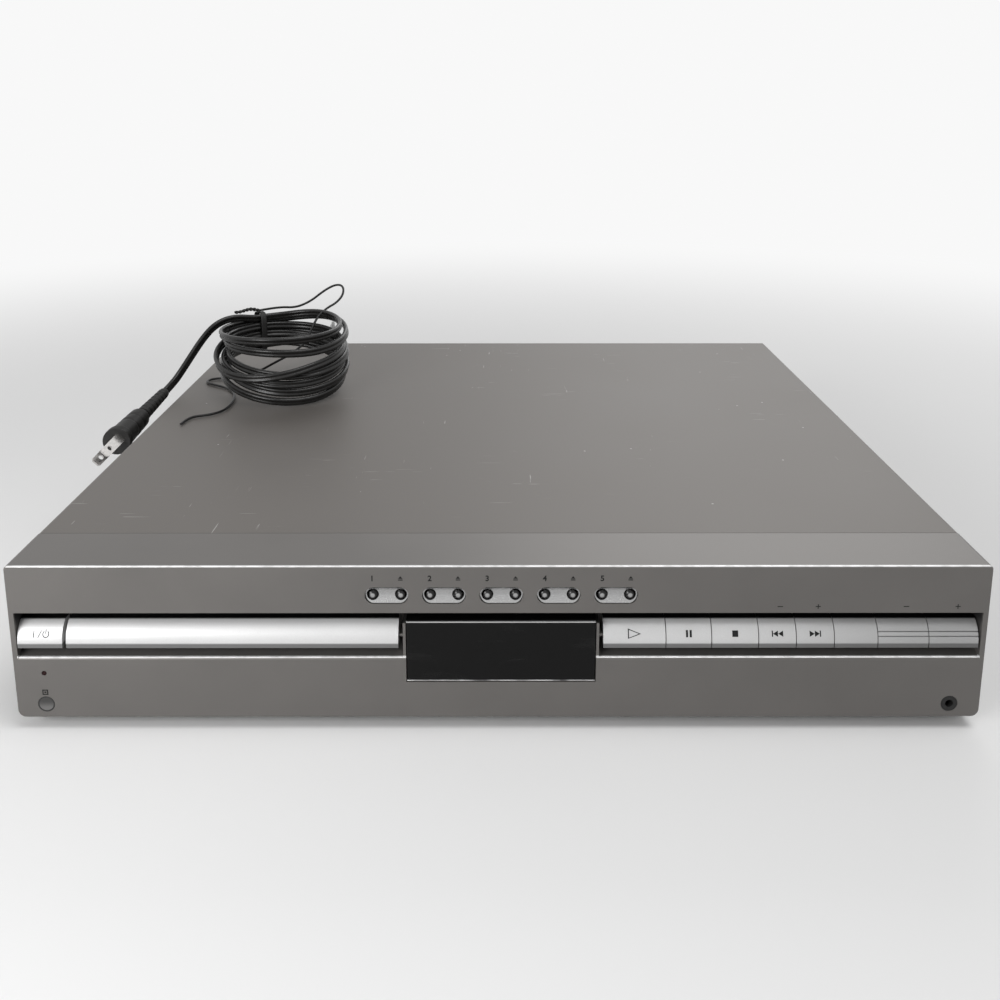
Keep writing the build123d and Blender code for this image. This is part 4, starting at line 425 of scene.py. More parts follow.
GLAND_LENGTH = 0.0243
gland = stations("gland_relief", 32,
                 [(0, 0.0160, 0.0160), (0.0026, 0.0160, 0.0160), (0.0030, 0.0150, 0.0150),
                  (0.0031, 0.0118, 0.0118)]
                 + ribbed(0.0036, 0.0222, 6, (0.0116, 0.0116), (0.0078, 0.0078), 0.0008)
                 + [(GLAND_LENGTH, 0.0074, 0.0074)])
lay_along(gland, Vector(GLAND_TIP) - Vector((0, GLAND_LENGTH, 0)), Vector((0, 1, 0)),
          Vector((1, 0, 0)))
soften(gland, 0.00025)

rubber = Finish("moulded black rubber", Roughness=0.55, Specular_IOR_Level=0.3)
rubber_cloud = rubber.noise(0.004, 4)
rubber.feed("Base Color", rubber.mix(rubber_cloud, grey(0.008, 1.02), grey(0.020, 1.03)))
rubber.feed("Roughness", 0.46 + rubber_cloud * 0.2)
rubber.bumps(rubber.noise(0.0005, 2), 0.00006, 0.6)
rubber.put_on(gland)
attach(gland, "casing")
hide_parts("strain_relief")


# Mains plug: one black moulding with a ribbed relief, a grip and a flange, and two flat
# nickel-plated blades that stay as the CAD has them.
PLUG_FACING = (0.332, -0.893, 0.303)
plug = stations("plug_moulding", 40,
                [(0, 0.0074, 0.0060), (0.0012, 0.0080, 0.0066)]
                + ribbed(0.0020, 0.0262, 7, (0.0084, 0.0070), (0.0112, 0.0092), 0.0008)
                + [(0.0270, 0.0125, 0.0105), (0.0300, 0.0215, 0.0130), (0.0345, 0.0224, 0.0136),
                   (0.0352, 0.0214, 0.0126), (0.0366, 0.0214, 0.0126), (0.0373, 0.0228, 0.0139),
                   (0.0400, 0.0232, 0.0142), (0.0407, 0.0222, 0.0132), (0.0421, 0.0222, 0.0132),
                   (0.0428, 0.0237, 0.0145), (0.0505, 0.0249, 0.0150), (0.0508, 0.0270, 0.0170),
                   (0.0540, 0.0270, 0.0170)])
lay_along(plug, Vector(PLUG_START), plug_axis, Vector(PLUG_FACING))
soften(plug, 0.0005, 3)
rubber.put_on(plug)
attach(plug, "casing")
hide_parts("plug_body")


# Twist tie: a flat black plastic strap with a wire in it, wound twice round the bundle
# and twisted at its ends.
TIE_HALF, TIE_HEIGHT = 0.0051, 0.0275
tie_angle = math.radians(TIE_ANGLE)
tie_out = Vector((math.cos(tie_angle), math.sin(tie_angle), 0))
tie_along = Vector((-math.sin(tie_angle), math.cos(tie_angle), 0))
tie_foot = Vector((COIL_X, COIL_Y, TOP_Z)) + tie_out * COIL_R
tie_middle = tie_foot.copy()
tie_middle.z += TIE_LOW + TIE_PITCH * COIL_TURNS / 2
TIE_WRAPS, TIE_STEPS, TIE_SPREAD, TIE_SQUARE = 2, 24, 0.0030, 0.55
TIE_CLEAR_SIDE, TIE_CLEAR_TOP = 0.0006, 0.0002
STRAP_HALF_WIDTH, STRAP_HALF_THICK = 0.0013, 0.00042


def squared(share):
    """Pulls a cosine or sine towards 1 and -1, so that a circle turns into a rounded square."""
    return math.copysign(abs(share) ** TIE_SQUARE, share)


def oval(half_width, half_thick, step):
    """Corners of an oval section, every step degrees."""
    return [(half_width * math.cos(math.radians(a)), half_thick * math.sin(math.radians(a)))
            for a in range(0, 360, step)]


tie_points = []
for k in range(TIE_WRAPS * TIE_STEPS + 1):
    turn = 2 * math.pi * k / TIE_STEPS + math.pi / 2
    out = squared(math.cos(turn)) * (TIE_HALF + TIE_CLEAR_SIDE)
    up = squared(math.sin(turn)) * (TIE_HEIGHT / 2 + TIE_CLEAR_TOP)
    slip = (k / (TIE_WRAPS * TIE_STEPS) - 0.5) * TIE_SPREAD
    tie_points.append(tie_middle + tie_out * out + Vector((0, 0, up)) + tie_along * slip)
tie = sweep_section("twist_tie", tie_points, [tie_along] * len(tie_points),
                    oval(STRAP_HALF_WIDTH, STRAP_HALF_THICK, 30))

STUB_RISE, STUB_BEND, STUB_ALONG, STUB_IN = 0.0012, 5, 0.0008, 0.001
STUB_STEPS, STUB_TWISTS, STRAND_R, STRAND_SWING, SWING_LOSS = 48, 3.5, 0.0007, 0.00075, 0.35
stub_start = (tie_middle + tie_along * STUB_ALONG - tie_out * STUB_IN
              + Vector((0, 0, TIE_HEIGHT / 2 + STUB_RISE)))
stub_end = stub_start + Vector((-0.0165, -0.0045, STUB_RISE))
for strand in (0, math.pi):
    points = []
    for k in range(STUB_STEPS + 1):
        share = k / STUB_STEPS
        lift = Vector((0, 0, STUB_RISE * math.sin(share * STUB_BEND)))
        angle = strand + share * 2 * math.pi * STUB_TWISTS
        swing = Vector((0, math.cos(angle), math.sin(angle))) * STRAND_SWING * (1 - SWING_LOSS * share)
        points.append(stub_start.lerp(stub_end, share) + lift + swing)
    sweep_section("tie_strand", points, [Vector((0, 0, 1))] * len(points),
                  oval(STRAND_R, STRAND_R, 45)).select_set(True)
tie.select_set(True)
bpy.context.view_layer.objects.active = tie
bpy.ops.object.join()
tie.select_set(False)
rubber.put_on(tie)
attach(tie, "casing")
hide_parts("cord_tie")

# Wire of the tie: thin black plastic-coated wire, its spare end left long. It stands up in a
# loop behind the coil, drops through it and comes out to the left over the cover.
WIRE_D = 0.0016
WIRE_OVER_TIE = 0.0049
WIRE_POINTS = [
    (-0.157, 0.1065, 0.128), (-0.147, 0.115, 0.1255), (-0.137, 0.1215, 0.129),
    (-0.128, 0.125, 0.136), (-0.119, 0.124, 0.141), (-0.1125, 0.1185, 0.141),
    (-0.1115, 0.111, 0.136), (-0.1155, 0.103, 0.1315), (-0.121, 0.0955, 0.1295),
    (-0.1265, 0.0875, 0.125), (-0.130, 0.0795, 0.117), (-0.133, 0.071, 0.110),
    (-0.141, 0.065, 0.104), (-0.153, 0.0665, 0.0975), (-0.165, 0.072, 0.090),
    (-0.1775, 0.0795, 0.084), (-0.1895, 0.086, 0.0806), (-0.1985, 0.0885, 0.0801),
    (-0.2045, 0.084, 0.0801), (-0.2035, 0.0765, 0.0801), (-0.196, 0.0715, 0.0801),
    (-0.187, 0.065, 0.0801), (-0.179, 0.054, 0.0801), (-0.175, 0.040, 0.0801),
    (-0.174, 0.025, 0.0801), (-0.1755, 0.012, 0.0801), (-0.1825, 0.004, 0.0801),
    (-0.1905, 0.0015, 0.0801), (-0.194, -0.006, 0.0801), (-0.1945, -0.014, 0.0801),
]
wire_start = tie_foot.copy()
wire_start.z += TIE_LOW + TIE_PITCH * COIL_TURNS + WIRE_OVER_TIE
wire = smooth_line("tie_wire_line", [wire_start, *WIRE_POINTS])[0]
wire.data.bevel_depth = WIRE_D / 2
wire.data.bevel_resolution = 3
wire.data.use_fill_caps = True
wire_coat = Finish("coated wire", Roughness=0.38, Specular_IOR_Level=0.25)
wire_coat.feed("Base Color", wire_coat.mix(wire_coat.noise(0.003, 3), grey(0.004), grey(0.012)))
wire_coat.bumps(wire_coat.noise(0.0004, 2), 0.00004, 0.5)
wire.data.materials.append(wire_coat.material)
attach(wire, "casing")
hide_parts("tie_wire")

# Front panel: injection-moulded plastic sprayed with fine silver paint, with the small marks printed
# on it.
# The channel's lower lip and the top front edge carry a painted highlight, and the channel's upper
# inside painted shade.
face_paint = Finish("silver face paint", Metallic=0.55, Roughness=0.42)
across, inward, up = face_paint.axes()
face_flake = face_paint.noise(0.00035, 2)
face_cloud = face_paint.noise(0.035, 4)
face_streak = face_paint.noise(0.004, 3, at=face_paint.stretched(0.25, 1, 2.5))
face_shade = face_paint.mix(face_cloud * 0.7 + face_flake * 0.3, grey(0.112, 1.05),
                            grey(0.152, 1.055))
# Painted highlight: thin bright bands along the channel's lower lip and the top front edge, broken up
# by noise.
LIP_STARTS_Z, LIP_ENDS_Z, LIP_FRONT_Y, LIP_END_X = (0.0349, 0.0352), (0.0358, 0.0362), -0.2036, 0.2128
lip_height = up.rise(*LIP_STARTS_Z) * (1 - up.rise(*LIP_ENDS_Z))
painted_lip_highlight = lip_height * (inward < LIP_FRONT_Y) * (abs(across) < LIP_END_X)
TOP_EDGE_Z, TOP_EDGE_Y = (0.0783, 0.0787), -0.2041
painted_top_edge_highlight = up.rise(*TOP_EDGE_Z) * (inward < TOP_EDGE_Y)
highlight_patches = face_paint.noise(0.006, 5).rise(0.35, 0.60)
painted_edge_highlight = painted_lip_highlight * (0.75 + highlight_patches * 0.25) + painted_top_edge_highlight * (0.55 + highlight_patches * 0.25)
# Painted shade: the upper inside of the channel, above the bar, is painted nearly black.
CHANNEL_Y, CHANNEL_Z, CHANNEL_TOP_Z = (-0.2044, -0.2034), (0.046, 0.054), 0.0570
channel_shade_mask = inward.rise(*CHANNEL_Y) * up.rise(*CHANNEL_Z) * (up < CHANNEL_TOP_Z)
channel_painted_shade = face_paint.mix(channel_shade_mask, face_shade, grey(0.035))
face_paint.feed("Base Color", face_paint.mix(painted_edge_highlight, channel_painted_shade, grey(0.80)))
face_paint.feed("Roughness", 0.36 + face_flake * 0.10 + face_cloud * 0.06)
face_paint.bumps(face_flake * 0.6 + face_streak * 0.4, 0.00003, 0.35)
face_paint.put_on(nodes["front_panel"])

LETTER_DARK = 0.010
print_ink = Finish("printed ink", Roughness=0.6, Specular_IOR_Level=0.15)
print_ink.feed("Base Color", print_ink.mix(print_ink.noise(0.0004, 2), grey(LETTER_DARK),
                                          grey(LETTER_DARK * 1.7)))
MARK_START = -0.2062
INK_LIFT, INK_THICK = 0.00002, 0.00006


def printed_mark(name, body, node, shapes):
    """A thin print on a node's front: shapes of three or four (x, z) corners, in millimetres."""
    vertices = []
    faces = []
    for shape in shapes:
        faces.append(tuple(range(len(vertices), len(vertices) + len(shape))))
        vertices += [(x / 1000, MARK_START, z / 1000) for x, z in shape]
    mark = link_mesh(name, vertices, faces)
    bpy.context.view_layer.objects.active = mark
    mark.select_set(True)
    bpy.ops.object.mode_set(mode="EDIT")
    bpy.ops.mesh.select_all(action="SELECT")
    bpy.ops.mesh.subdivide(number_cuts=2)
    bpy.ops.mesh.normals_make_consistent(inside=False)
    bpy.ops.object.mode_set(mode="OBJECT")
    mark.select_set(False)
    wrap = mark.modifiers.new("on the surface", "SHRINKWRAP")
    wrap.wrap_method = "PROJECT"
    wrap.use_project_y = True
    wrap.use_negative_direction = True
    wrap.use_positive_direction = True
    wrap.target = nodes[node]
    wrap.offset = INK_LIFT
    bpy.ops.object.modifier_apply(modifier=wrap.name)
    skin = mark.modifiers.new("ink", "SOLIDIFY")
    skin.thickness = INK_THICK
    skin.offset = 0
    bpy.ops.object.modifier_apply(modifier=skin.name)
    mark.data.shade_flat()
    print_ink.put_on(mark)
    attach(mark, body)


def box_shape(x0, x1, z0, z1):
    return [(x0, z0), (x1, z0), (x1, z1), (x0, z1)]


def ring_shapes(x, z, radius, stroke, start, end, steps):
    """Quads along an arc, from start to end degrees."""
    def spot(reach, angle):
        return x + reach * math.cos(angle), z + reach * math.sin(angle)

    inner, outer = radius - stroke / 2, radius + stroke / 2
    angles = [math.radians(start + (end - start) * k / steps) for k in range(steps + 1)]
    return [[spot(inner, a), spot(outer, a), spot(outer, b), spot(inner, b)]
            for a, b in zip(angles, angles[1:])]


def plus_shapes(x, z, half, stroke):
    return [box_shape(x - half, x + half, z - stroke, z + stroke),
            box_shape(x - stroke, x + stroke, z + stroke, z + half),
            box_shape(x - stroke, x + stroke, z - half, z - stroke)]


STRIP_MARK_Z = 59.8
for name, shapes in (
    ("previous_minus", [box_shape(122.0, 124.4, 59.6, 60.0)]),
    ("next_plus", plus_shapes(139.8, STRIP_MARK_Z, 1.1, 0.2)),
    ("volume_minus", [box_shape(177.2, 179.6, 59.6, 60.0)]),
    ("volume_plus", plus_shapes(201.0, STRIP_MARK_Z, 1.1, 0.2)),
):
    printed_mark(name, "casing", "front_panel", shapes)
DISC_SLOTS, DISC_FIRST_X, DISC_PITCH, DOME_OFFSET, LABEL_Z = 5, -48.9, 25.05, 6.15, 73.2
DIGIT_Y, DIGIT_DROP, DIGIT_SIZE, DIGIT_BOLD, DIGIT_THICK = -205.02, 1.2, 0.0036, 0.00009, 0.00003
for slot in range(DISC_SLOTS):
    middle = DISC_FIRST_X + DISC_PITCH * slot
    eject_x = middle + DOME_OFFSET
    printed_mark(f"eject_mark_{slot + 1}", "casing", "front_panel",
                 [[(eject_x - 1.0, LABEL_Z - 0.15), (eject_x + 1.0, LABEL_Z - 0.15),
                   (eject_x, LABEL_Z + 1.05)],
                  box_shape(eject_x - 1.0, eject_x + 1.0, LABEL_Z - 0.95, LABEL_Z - 0.5)])
    digit_place = ((middle - DOME_OFFSET) / 1000, DIGIT_Y / 1000, (LABEL_Z - DIGIT_DROP) / 1000)
    bpy.ops.object.text_add(location=digit_place, rotation=(math.radians(90), 0, 0))
    digit = bpy.context.object
    digit.data.body = str(slot + 1)
    digit.data.align_x = "CENTER"
    digit.data.size = DIGIT_SIZE
    digit.data.offset = DIGIT_BOLD
    digit.data.resolution_u = 3
    digit.data.extrude = DIGIT_THICK
    bpy.ops.object.convert(target="MESH")
    bpy.ops.object.transform_apply(location=True, rotation=True, scale=True)
    digit = bpy.context.object
    digit.name = f"disc_number_{slot + 1}"
    digit.select_set(False)
    print_ink.put_on(digit)
    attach(digit, "casing")
printed_mark("receiver_mark", "casing", "front_panel",
             [box_shape(-203.2, -200.6, 17.1, 17.6), box_shape(-203.2, -200.6, 19.2, 19.7),
              box_shape(-203.2, -202.7, 17.6, 19.2), box_shape(-201.1, -200.6, 17.6, 19.2),
              box_shape(-202.3, -201.5, 18.0, 18.8)])

# Strip buttons and drawer front: the same moulded plastic in a brighter silver paint, on one
# curved bar. The dark gaps between them are real gaps, and their signs are printed.
PAINT_METAL = 0.3
# Painted shade: the bar darkens towards its right end, as the light falls off to the right, and on its
# lower band and flat top.
BAR_RIGHT_SHADE_X, BAR_FOOT_SHADE_Z, BAR_TOP_SHADE_Z = (0.09, 0.205), (0.0416, 0.0425), (0.0510, 0.0516)


def bar_look(finish):
    """The bar's silver, with painted shade towards its right end, on its lower band and on its flat
    top.

    Gives the colour with that painted shade, how metallic it is, and its flakes."""
    across, inward, up = finish.axes()
    flake = finish.noise(0.00042, 3, 0.7)
    cloud = finish.noise(0.03, 3)
    silver = finish.mix(flake * 0.65 + cloud * 0.35, grey(0.46), grey(0.66))
    right_end_shade = finish.mix(across.rise(*BAR_RIGHT_SHADE_X) * 0.55, silver, grey(0.17))
    # Painted shade on the lower band of the bar and on its flat top under the overhang; the top is
    # also made fully metallic.
    foot_shade = 1 - up.rise(*BAR_FOOT_SHADE_Z)
    top = up.rise(*BAR_TOP_SHADE_Z)
    shade = finish.mix(top, finish.mix(foot_shade * 0.9, right_end_shade, grey(0.10)), grey(0.012))
    return shade, top * (1 - PAINT_METAL) + PAINT_METAL, flake


bar_paint = Finish("bright silver paint", Metallic=PAINT_METAL, Roughness=0.42)
bar_shade, bar_metal, bar_flake = bar_look(bar_paint)
bar_paint.feed("Base Color", bar_shade)
bar_paint.feed("Metallic", bar_metal)
bar_paint.feed("Roughness", 0.36 + bar_flake * 0.14)
bar_paint.bumps(bar_flake, 0.00003, 0.4)
STRIP_BUTTONS = ["power_button", "play_button", "pause_button", "stop_button", "previous_button",
                 "next_button", "function_button", "volume_down_button", "volume_up_button"]
bar_paint.put_on(*[nodes[name] for name in STRIP_BUTTONS])


def outline_shapes(corners, stroke):
    """Quads along the inside of a triangle's edges."""
    middle = (sum(x for x, z in corners) / 3, sum(z for x, z in corners) / 3)
    inner = [(x + (middle[0] - x) * stroke, z + (middle[1] - z) * stroke) for x, z in corners]
    return [[corners[k], corners[(k + 1) % 3], inner[(k + 1) % 3], inner[k]] for k in range(3)]


BAR_Z = 46.2
printed_mark("power_sign", "power_button", "power_button",
             [box_shape(-205.1, -204.75, BAR_Z - 1.3, BAR_Z + 1.3),
              [(-203.2, BAR_Z - 1.4), (-202.85, BAR_Z - 1.4), (-201.45, BAR_Z + 1.4),
               (-201.8, BAR_Z + 1.4)],
              box_shape(-199.8, -199.45, BAR_Z + 0.2, BAR_Z + 1.8)]
             + ring_shapes(-199.6, BAR_Z, 1.3, 0.35, 125, 415, 18))
printed_mark("play_sign", "play_button", "play_button",
             outline_shapes([(57.0, BAR_Z - 2.0), (57.0, BAR_Z + 2.0), (62.8, BAR_Z)], 0.24))
printed_mark("pause_sign", "pause_button", "pause_button",
             [box_shape(82.6, 83.55, BAR_Z - 1.4, BAR_Z + 1.4),
              box_shape(84.25, 85.2, BAR_Z - 1.4, BAR_Z + 1.4)])
printed_mark("stop_sign", "stop_button", "stop_button",
             [box_shape(103.05, 105.65, BAR_Z - 1.25, BAR_Z + 1.25)])
for name, button, x, way in (("previous_sign", "previous_button", 120.5, 1),
                             ("next_sign", "next_button", 142.2, -1)):
    printed_mark(name, button, button,
                 [box_shape(*sorted((x, x + 0.5 * way)), BAR_Z - 1.2, BAR_Z + 1.2),
                  [(x + 0.5 * way, BAR_Z), (x + 2.7 * way, BAR_Z - 1.2),
                   (x + 2.7 * way, BAR_Z + 1.2)],
                  [(x + 2.8 * way, BAR_Z), (x + 5.0 * way, BAR_Z - 1.2),
                   (x + 5.0 * way, BAR_Z + 1.2)]])

# Disc drawer: its front is part of the bar and painted like it, and its tray behind is dark
# grey moulded plastic with the wells for a large and a small disc.
drawer_finish = Finish("drawer plastic and paint", Metallic=PAINT_METAL, Roughness=0.42)
# The drawer front gets the same painted shade as the bar.
drawer_front, drawer_metal, drawer_flake = bar_look(drawer_finish)
TRAY_Y = (-0.1946, -0.1942)
is_tray = drawer_finish.axes()[1].rise(*TRAY_Y)
tray_shade = drawer_finish.mix(drawer_finish.noise(0.012, 4), grey(0.024), grey(0.040))
drawer_finish.feed("Base Color", drawer_finish.mix(is_tray, drawer_front, tray_shade))
drawer_finish.feed("Roughness", 0.36 + drawer_flake * 0.14 + is_tray * 0.12)
drawer_finish.feed("Metallic", (1 - is_tray) * drawer_metal)
drawer_finish.bumps(drawer_flake, 0.00003, 0.4)
drawer_finish.put_on(nodes["disc_drawer"])

# Display window: smoked acrylic with a bevelled edge, glossy and nearly black, with a few fine rub
# marks, a painted highlight line near its top edge and painted glints along its bottom edge. The tube
# behind it is dark glass while the set is off.
window_gloss = Finish("smoked acrylic", Roughness=0.06, Specular_IOR_Level=0.16)
window_rub = window_gloss.noise(0.010, 5, at=window_gloss.stretched(0.4, 1, 2)).rise(0.55, 0.75)
across, inward, up = window_gloss.axes()
# Painted highlight: a thin bright line near the top edge, and patchy bright glints along the bottom
# edge.
WINDOW_FOOT_GLINT_Z, WINDOW_TOP_GLINT_Z0, WINDOW_TOP_GLINT_Z1 = (0.0241, 0.0246), 0.0521, 0.0527
window_foot_glint = (1 - up.rise(*WINDOW_FOOT_GLINT_Z)) * window_gloss.noise(0.012, 4).rise(0.30, 0.60)
window_painted_glints = window_foot_glint + (up > WINDOW_TOP_GLINT_Z0) * (up < WINDOW_TOP_GLINT_Z1) * 0.5
window_dark = window_gloss.mix(window_rub, grey(0.0035), grey(0.0075))
window_gloss.feed("Base Color", window_gloss.mix(window_painted_glints, window_dark, grey(0.75)))
window_gloss.feed("Roughness", 0.05 + window_rub * 0.12)
window_gloss.put_on(nodes["display_window"])
remote_lens = Finish("grey remote window", Roughness=0.18, Specular_IOR_Level=0.3)
across, inward, up = remote_lens.axes()
REMOTE_X, REMOTE_Z, REMOTE_CLEAR_R = -0.2019, 0.0126, 0.0031
remote_rim = (across - REMOTE_X).away(up - REMOTE_Z) > REMOTE_CLEAR_R
# Painted light: the lower part of the lens is painted lighter and the upper part darker.
REMOTE_LIT_BELOW_Z = (0.0105, 0.0142)
remote_painted_light = 1 - up.rise(*REMOTE_LIT_BELOW_Z)
remote_shade = remote_lens.mix(remote_painted_light, grey(0.045, 1.02), grey(0.12, 1.02))
remote_lens.feed("Base Color", remote_lens.mix(remote_rim, remote_shade, grey(0.03)))
remote_lens.put_on(nodes["remote_window"])
tube_glass = Finish("display tube", Roughness=0.12)
tube_cells = tube_glass.node("ShaderNodeTexBrick", {},
                             {"Vector": tube_glass.place, "Scale": 160.0}, 1)
tube_glass.feed("Base Color", tube_glass.mix(tube_cells, (0.020, 0.032, 0.030, 1),
                                             (0.05, 0.07, 0.065, 1)))
tube_glass.put_on(nodes["display_tube"])

# Disc buttons: small chromed domes, each pair in a dished silver bezel with a polished rim.
bezel_silver = Finish("dished silver", Metallic=0.85, Roughness=0.26)
bezel_grain = bezel_silver.noise(0.0004, 3, 0.7)
bezel_silver.feed("Base Color", bezel_silver.mix(bezel_grain, grey(0.30), grey(0.50)))
bezel_silver.feed("Roughness", 0.20 + bezel_grain * 0.12)
bezel_silver.bumps(bezel_grain, 0.00003, 0.4)
bezel_silver.put_on(nodes["disc_button_bezels"])
dome_chrome = Finish("chromed dome", Metallic=1.0, Roughness=0.12)
# Painted shade and highlight: each dome is painted near black, with a bright spot painted at its
# centre for a reflection.
DOME_Z, DOME_HIGHLIGHT_R, DOME_HIGHLIGHT_FADE_R = 0.0651, 0.00061, 0.00132
across, inward, up = dome_chrome.axes()
from_pair = abs(across.in_row(DISC_FIRST_X / 1000, DISC_PITCH / 1000))
from_centre = (from_pair - DOME_OFFSET / 1000).away(up - DOME_Z)
dome_painted_highlight = 1 - from_centre.rise(DOME_HIGHLIGHT_R, DOME_HIGHLIGHT_FADE_R)
dome_smear = dome_chrome.noise(0.0012, 3)
dome_chrome.feed("Base Color", dome_chrome.mix(dome_painted_highlight, grey(0.030), grey(0.40)))
dome_chrome.feed("Roughness", 0.09 + dome_smear * 0.10)
DOMES = [f"{kind}_{number}_button" for number in range(1, 6) for kind in ("disc", "eject")]
dome_chrome.put_on(*[nodes[name] for name in DOMES])

# Headphone socket and standby lens: black moulded plastic, and a tiny dark red lens that is
# unlit.
black_mould = Finish("black moulded plastic", Roughness=0.45, Specular_IOR_Level=0.25)
mould_cloud = black_mould.noise(0.008, 4)
black_mould.feed("Base Color", black_mould.mix(mould_cloud, grey(0.010), grey(0.024)))
black_mould.feed("Roughness", 0.36 + mould_cloud * 0.18)
black_mould.bumps(black_mould.noise(0.0006, 2), 0.00004, 0.4)
black_mould.put_on(*[nodes[name] for name in (
    "headphone_jack", "speaker_sockets", "aerial_terminals", "fan_frame", "fan_rotor", "turntable",
    "clamp_puck")])
lens_red = Finish("unlit red lens", Roughness=0.15, Specular_IOR_Level=0.2)
lens_red.feed("Base Color", lens_red.mix(lens_red.noise(0.0008, 2), (0.010, 0.003, 0.003, 1),
                                         (0.020, 0.004, 0.004, 1)))
lens_red.put_on(nodes["standby_lens"])

# Top cover: folded sheet steel with a warm grey baked paint, finely grained. It has light
# scratches, small nicks and a few specks of dust from use.
cover_paint = Finish("warm grey cover paint", Metallic=0.25, Roughness=0.45)
cover_cloud = cover_paint.noise(0.09, 4)
cover_grain = cover_paint.noise(0.0007, 3, 0.6)
cover_patch = cover_paint.noise(0.05, 3).rise(0.50, 0.68)
SPECKS_PER_METRE, SPECK_SIZE, SPECK_PICK = 75.0, 0.045, 0.62
along_x = cover_paint.stretched(0.045, 0.9, 0.9)
along_y = cover_paint.stretched(0.8, 0.05, 0.8)
cover_scratch = cover_paint.noise(0.0011, 2, at=along_x).rise(0.70, 0.74)
cover_cross = cover_paint.noise(0.0013, 2, at=along_y).rise(0.72, 0.76)
cells = {"Vector": cover_paint.place, "Scale": SPECKS_PER_METRE}
speck_cells = cover_paint.node("ShaderNodeTexVoronoi", {}, cells, "Distance")
speck_pick = cover_paint.node("ShaderNodeTexVoronoi", {}, cells, "Color")
pick_split = cover_paint.node("ShaderNodeSeparateColor", {}, {0: speck_pick})
cover_specks = (speck_cells < SPECK_SIZE) * (pick_split > SPECK_PICK)
cover_shade = cover_paint.mix(cover_cloud * 0.6 + cover_grain * 0.4, grey(0.094, 1.085),
                              grey(0.132, 1.085))
cover_marks = (cover_scratch + cover_cross) * cover_patch * 0.5 + cover_specks * 0.55
cover_paint.feed("Base Color", cover_paint.mix(cover_marks, cover_shade, grey(0.55, 1.02)))
cover_paint.feed("Roughness", 0.40 + cover_grain * 0.12 + cover_cloud * 0.08)
cover_paint.bumps(cover_grain - cover_scratch * cover_patch, 0.00005, 0.45)
cover_paint.put_on(nodes["top_cover"])
screw_black = Finish("blackened steel", Metallic=0.8, Roughness=0.38)
screw_wear = screw_black.noise(0.001, 3).rise(0.5, 0.75)
screw_black.feed("Base Color", screw_black.mix(screw_wear, grey(0.03), grey(0.14)))
screw_black.put_on(nodes["cover_screws"])

# Sheet-metal chassis: zinc-plated steel, with a spangled grain. The front panel, the rear panel
# and the mechanism's frame are screwed or hooked to it.
zinc = Finish("zinc-plated steel", Metallic=0.85, Roughness=0.38)
zinc_spangle = zinc.node("ShaderNodeTexVoronoi", {}, {"Vector": zinc.place, "Scale": 220.0}, "Color")
zinc_split = zinc.node("ShaderNodeSeparateColor", {}, {0: zinc_spangle})
zinc_cloud = zinc.noise(0.02, 4)
zinc.feed("Base Color", zinc.mix(zinc_split * 0.5 + zinc_cloud * 0.5, grey(0.30), grey(0.46, 1.01)))
zinc.feed("Roughness", 0.30 + zinc_split * 0.10 + zinc_cloud * 0.10)
zinc.bumps(zinc.noise(0.0006, 2), 0.00003, 0.3)
zinc.put_on(*[nodes[name] for name in (
    "chassis_pan", "rear_panel", "mechanism_frame", "guide_rods", "loading_motor")])

# Feet: black rubber pads on moulded cups.
foot_rubber = Finish("rubber foot", Roughness=0.7)
foot_dust = foot_rubber.noise(0.003, 4).rise(0.45, 0.75)
foot_rubber.feed("Base Color", foot_rubber.mix(foot_dust, grey(0.012), grey(0.050, 1.03)))
foot_rubber.bumps(foot_rubber.noise(0.0008, 3), 0.0001, 0.5)
foot_rubber.put_on(nodes["feet"])

# Phono jacks: nickel-plated shells in black blocks, with coloured insulators round the contact.
JACK_FIRST_X, JACK_PITCH_X, JACK_FIRST_Z, JACK_PITCH_Z = -0.012, 0.016, 0.028, 0.018
jacks = Finish("nickel and coloured insulators", Metallic=0.9, Roughness=0.25)
across, inward, up = jacks.axes()
beside = across.in_row(JACK_FIRST_X, JACK_PITCH_X)
above = up.in_row(JACK_FIRST_Z, JACK_PITCH_Z)
INSULATOR_R, INSULATOR_Y, BLOCK_Y = 0.0033, 0.2020, 0.1936
BETWEEN_ROWS_Z, LAST_COLUMN_X = 0.037, 0.028
insulator = (beside.away(above) < INSULATOR_R) * (inward > INSULATOR_Y)
inside_block = inward < BLOCK_Y
upper_row = up > BETWEEN_ROWS_Z
yellow = across > LAST_COLUMN_X
tint = jacks.mix(upper_row, (0.35, 0.012, 0.010, 1), (0.62, 0.60, 0.56, 1))
tint = jacks.mix(yellow, tint, (0.62, 0.42, 0.02, 1))
plating = jacks.mix(jacks.noise(0.002, 3), grey(0.46, 1.01), grey(0.68, 1.02))
shell_shade = jacks.mix(insulator, plating, tint)
jacks.feed("Base Color", jacks.mix(inside_block, shell_shade, grey(0.015)))
jacks.feed("Metallic", (1 - insulator) * (1 - inside_block) * 0.9)
jacks.feed("Roughness", 0.22 + insulator * 0.25 + inside_block * 0.25)
jacks.put_on(nodes["rear_jacks"])
nickel = Finish("nickel plate", Metallic=0.95, Roughness=0.22)
nickel_rub = nickel.noise(0.0012, 3, at=nickel.stretched(1, 0.2, 1))
nickel.feed("Base Color", nickel.mix(nickel_rub, grey(0.50, 1.02), grey(0.72, 1.03)))
nickel.feed("Roughness", 0.16 + nickel_rub * 0.16)
nickel.put_on(nodes["plug_blades"])

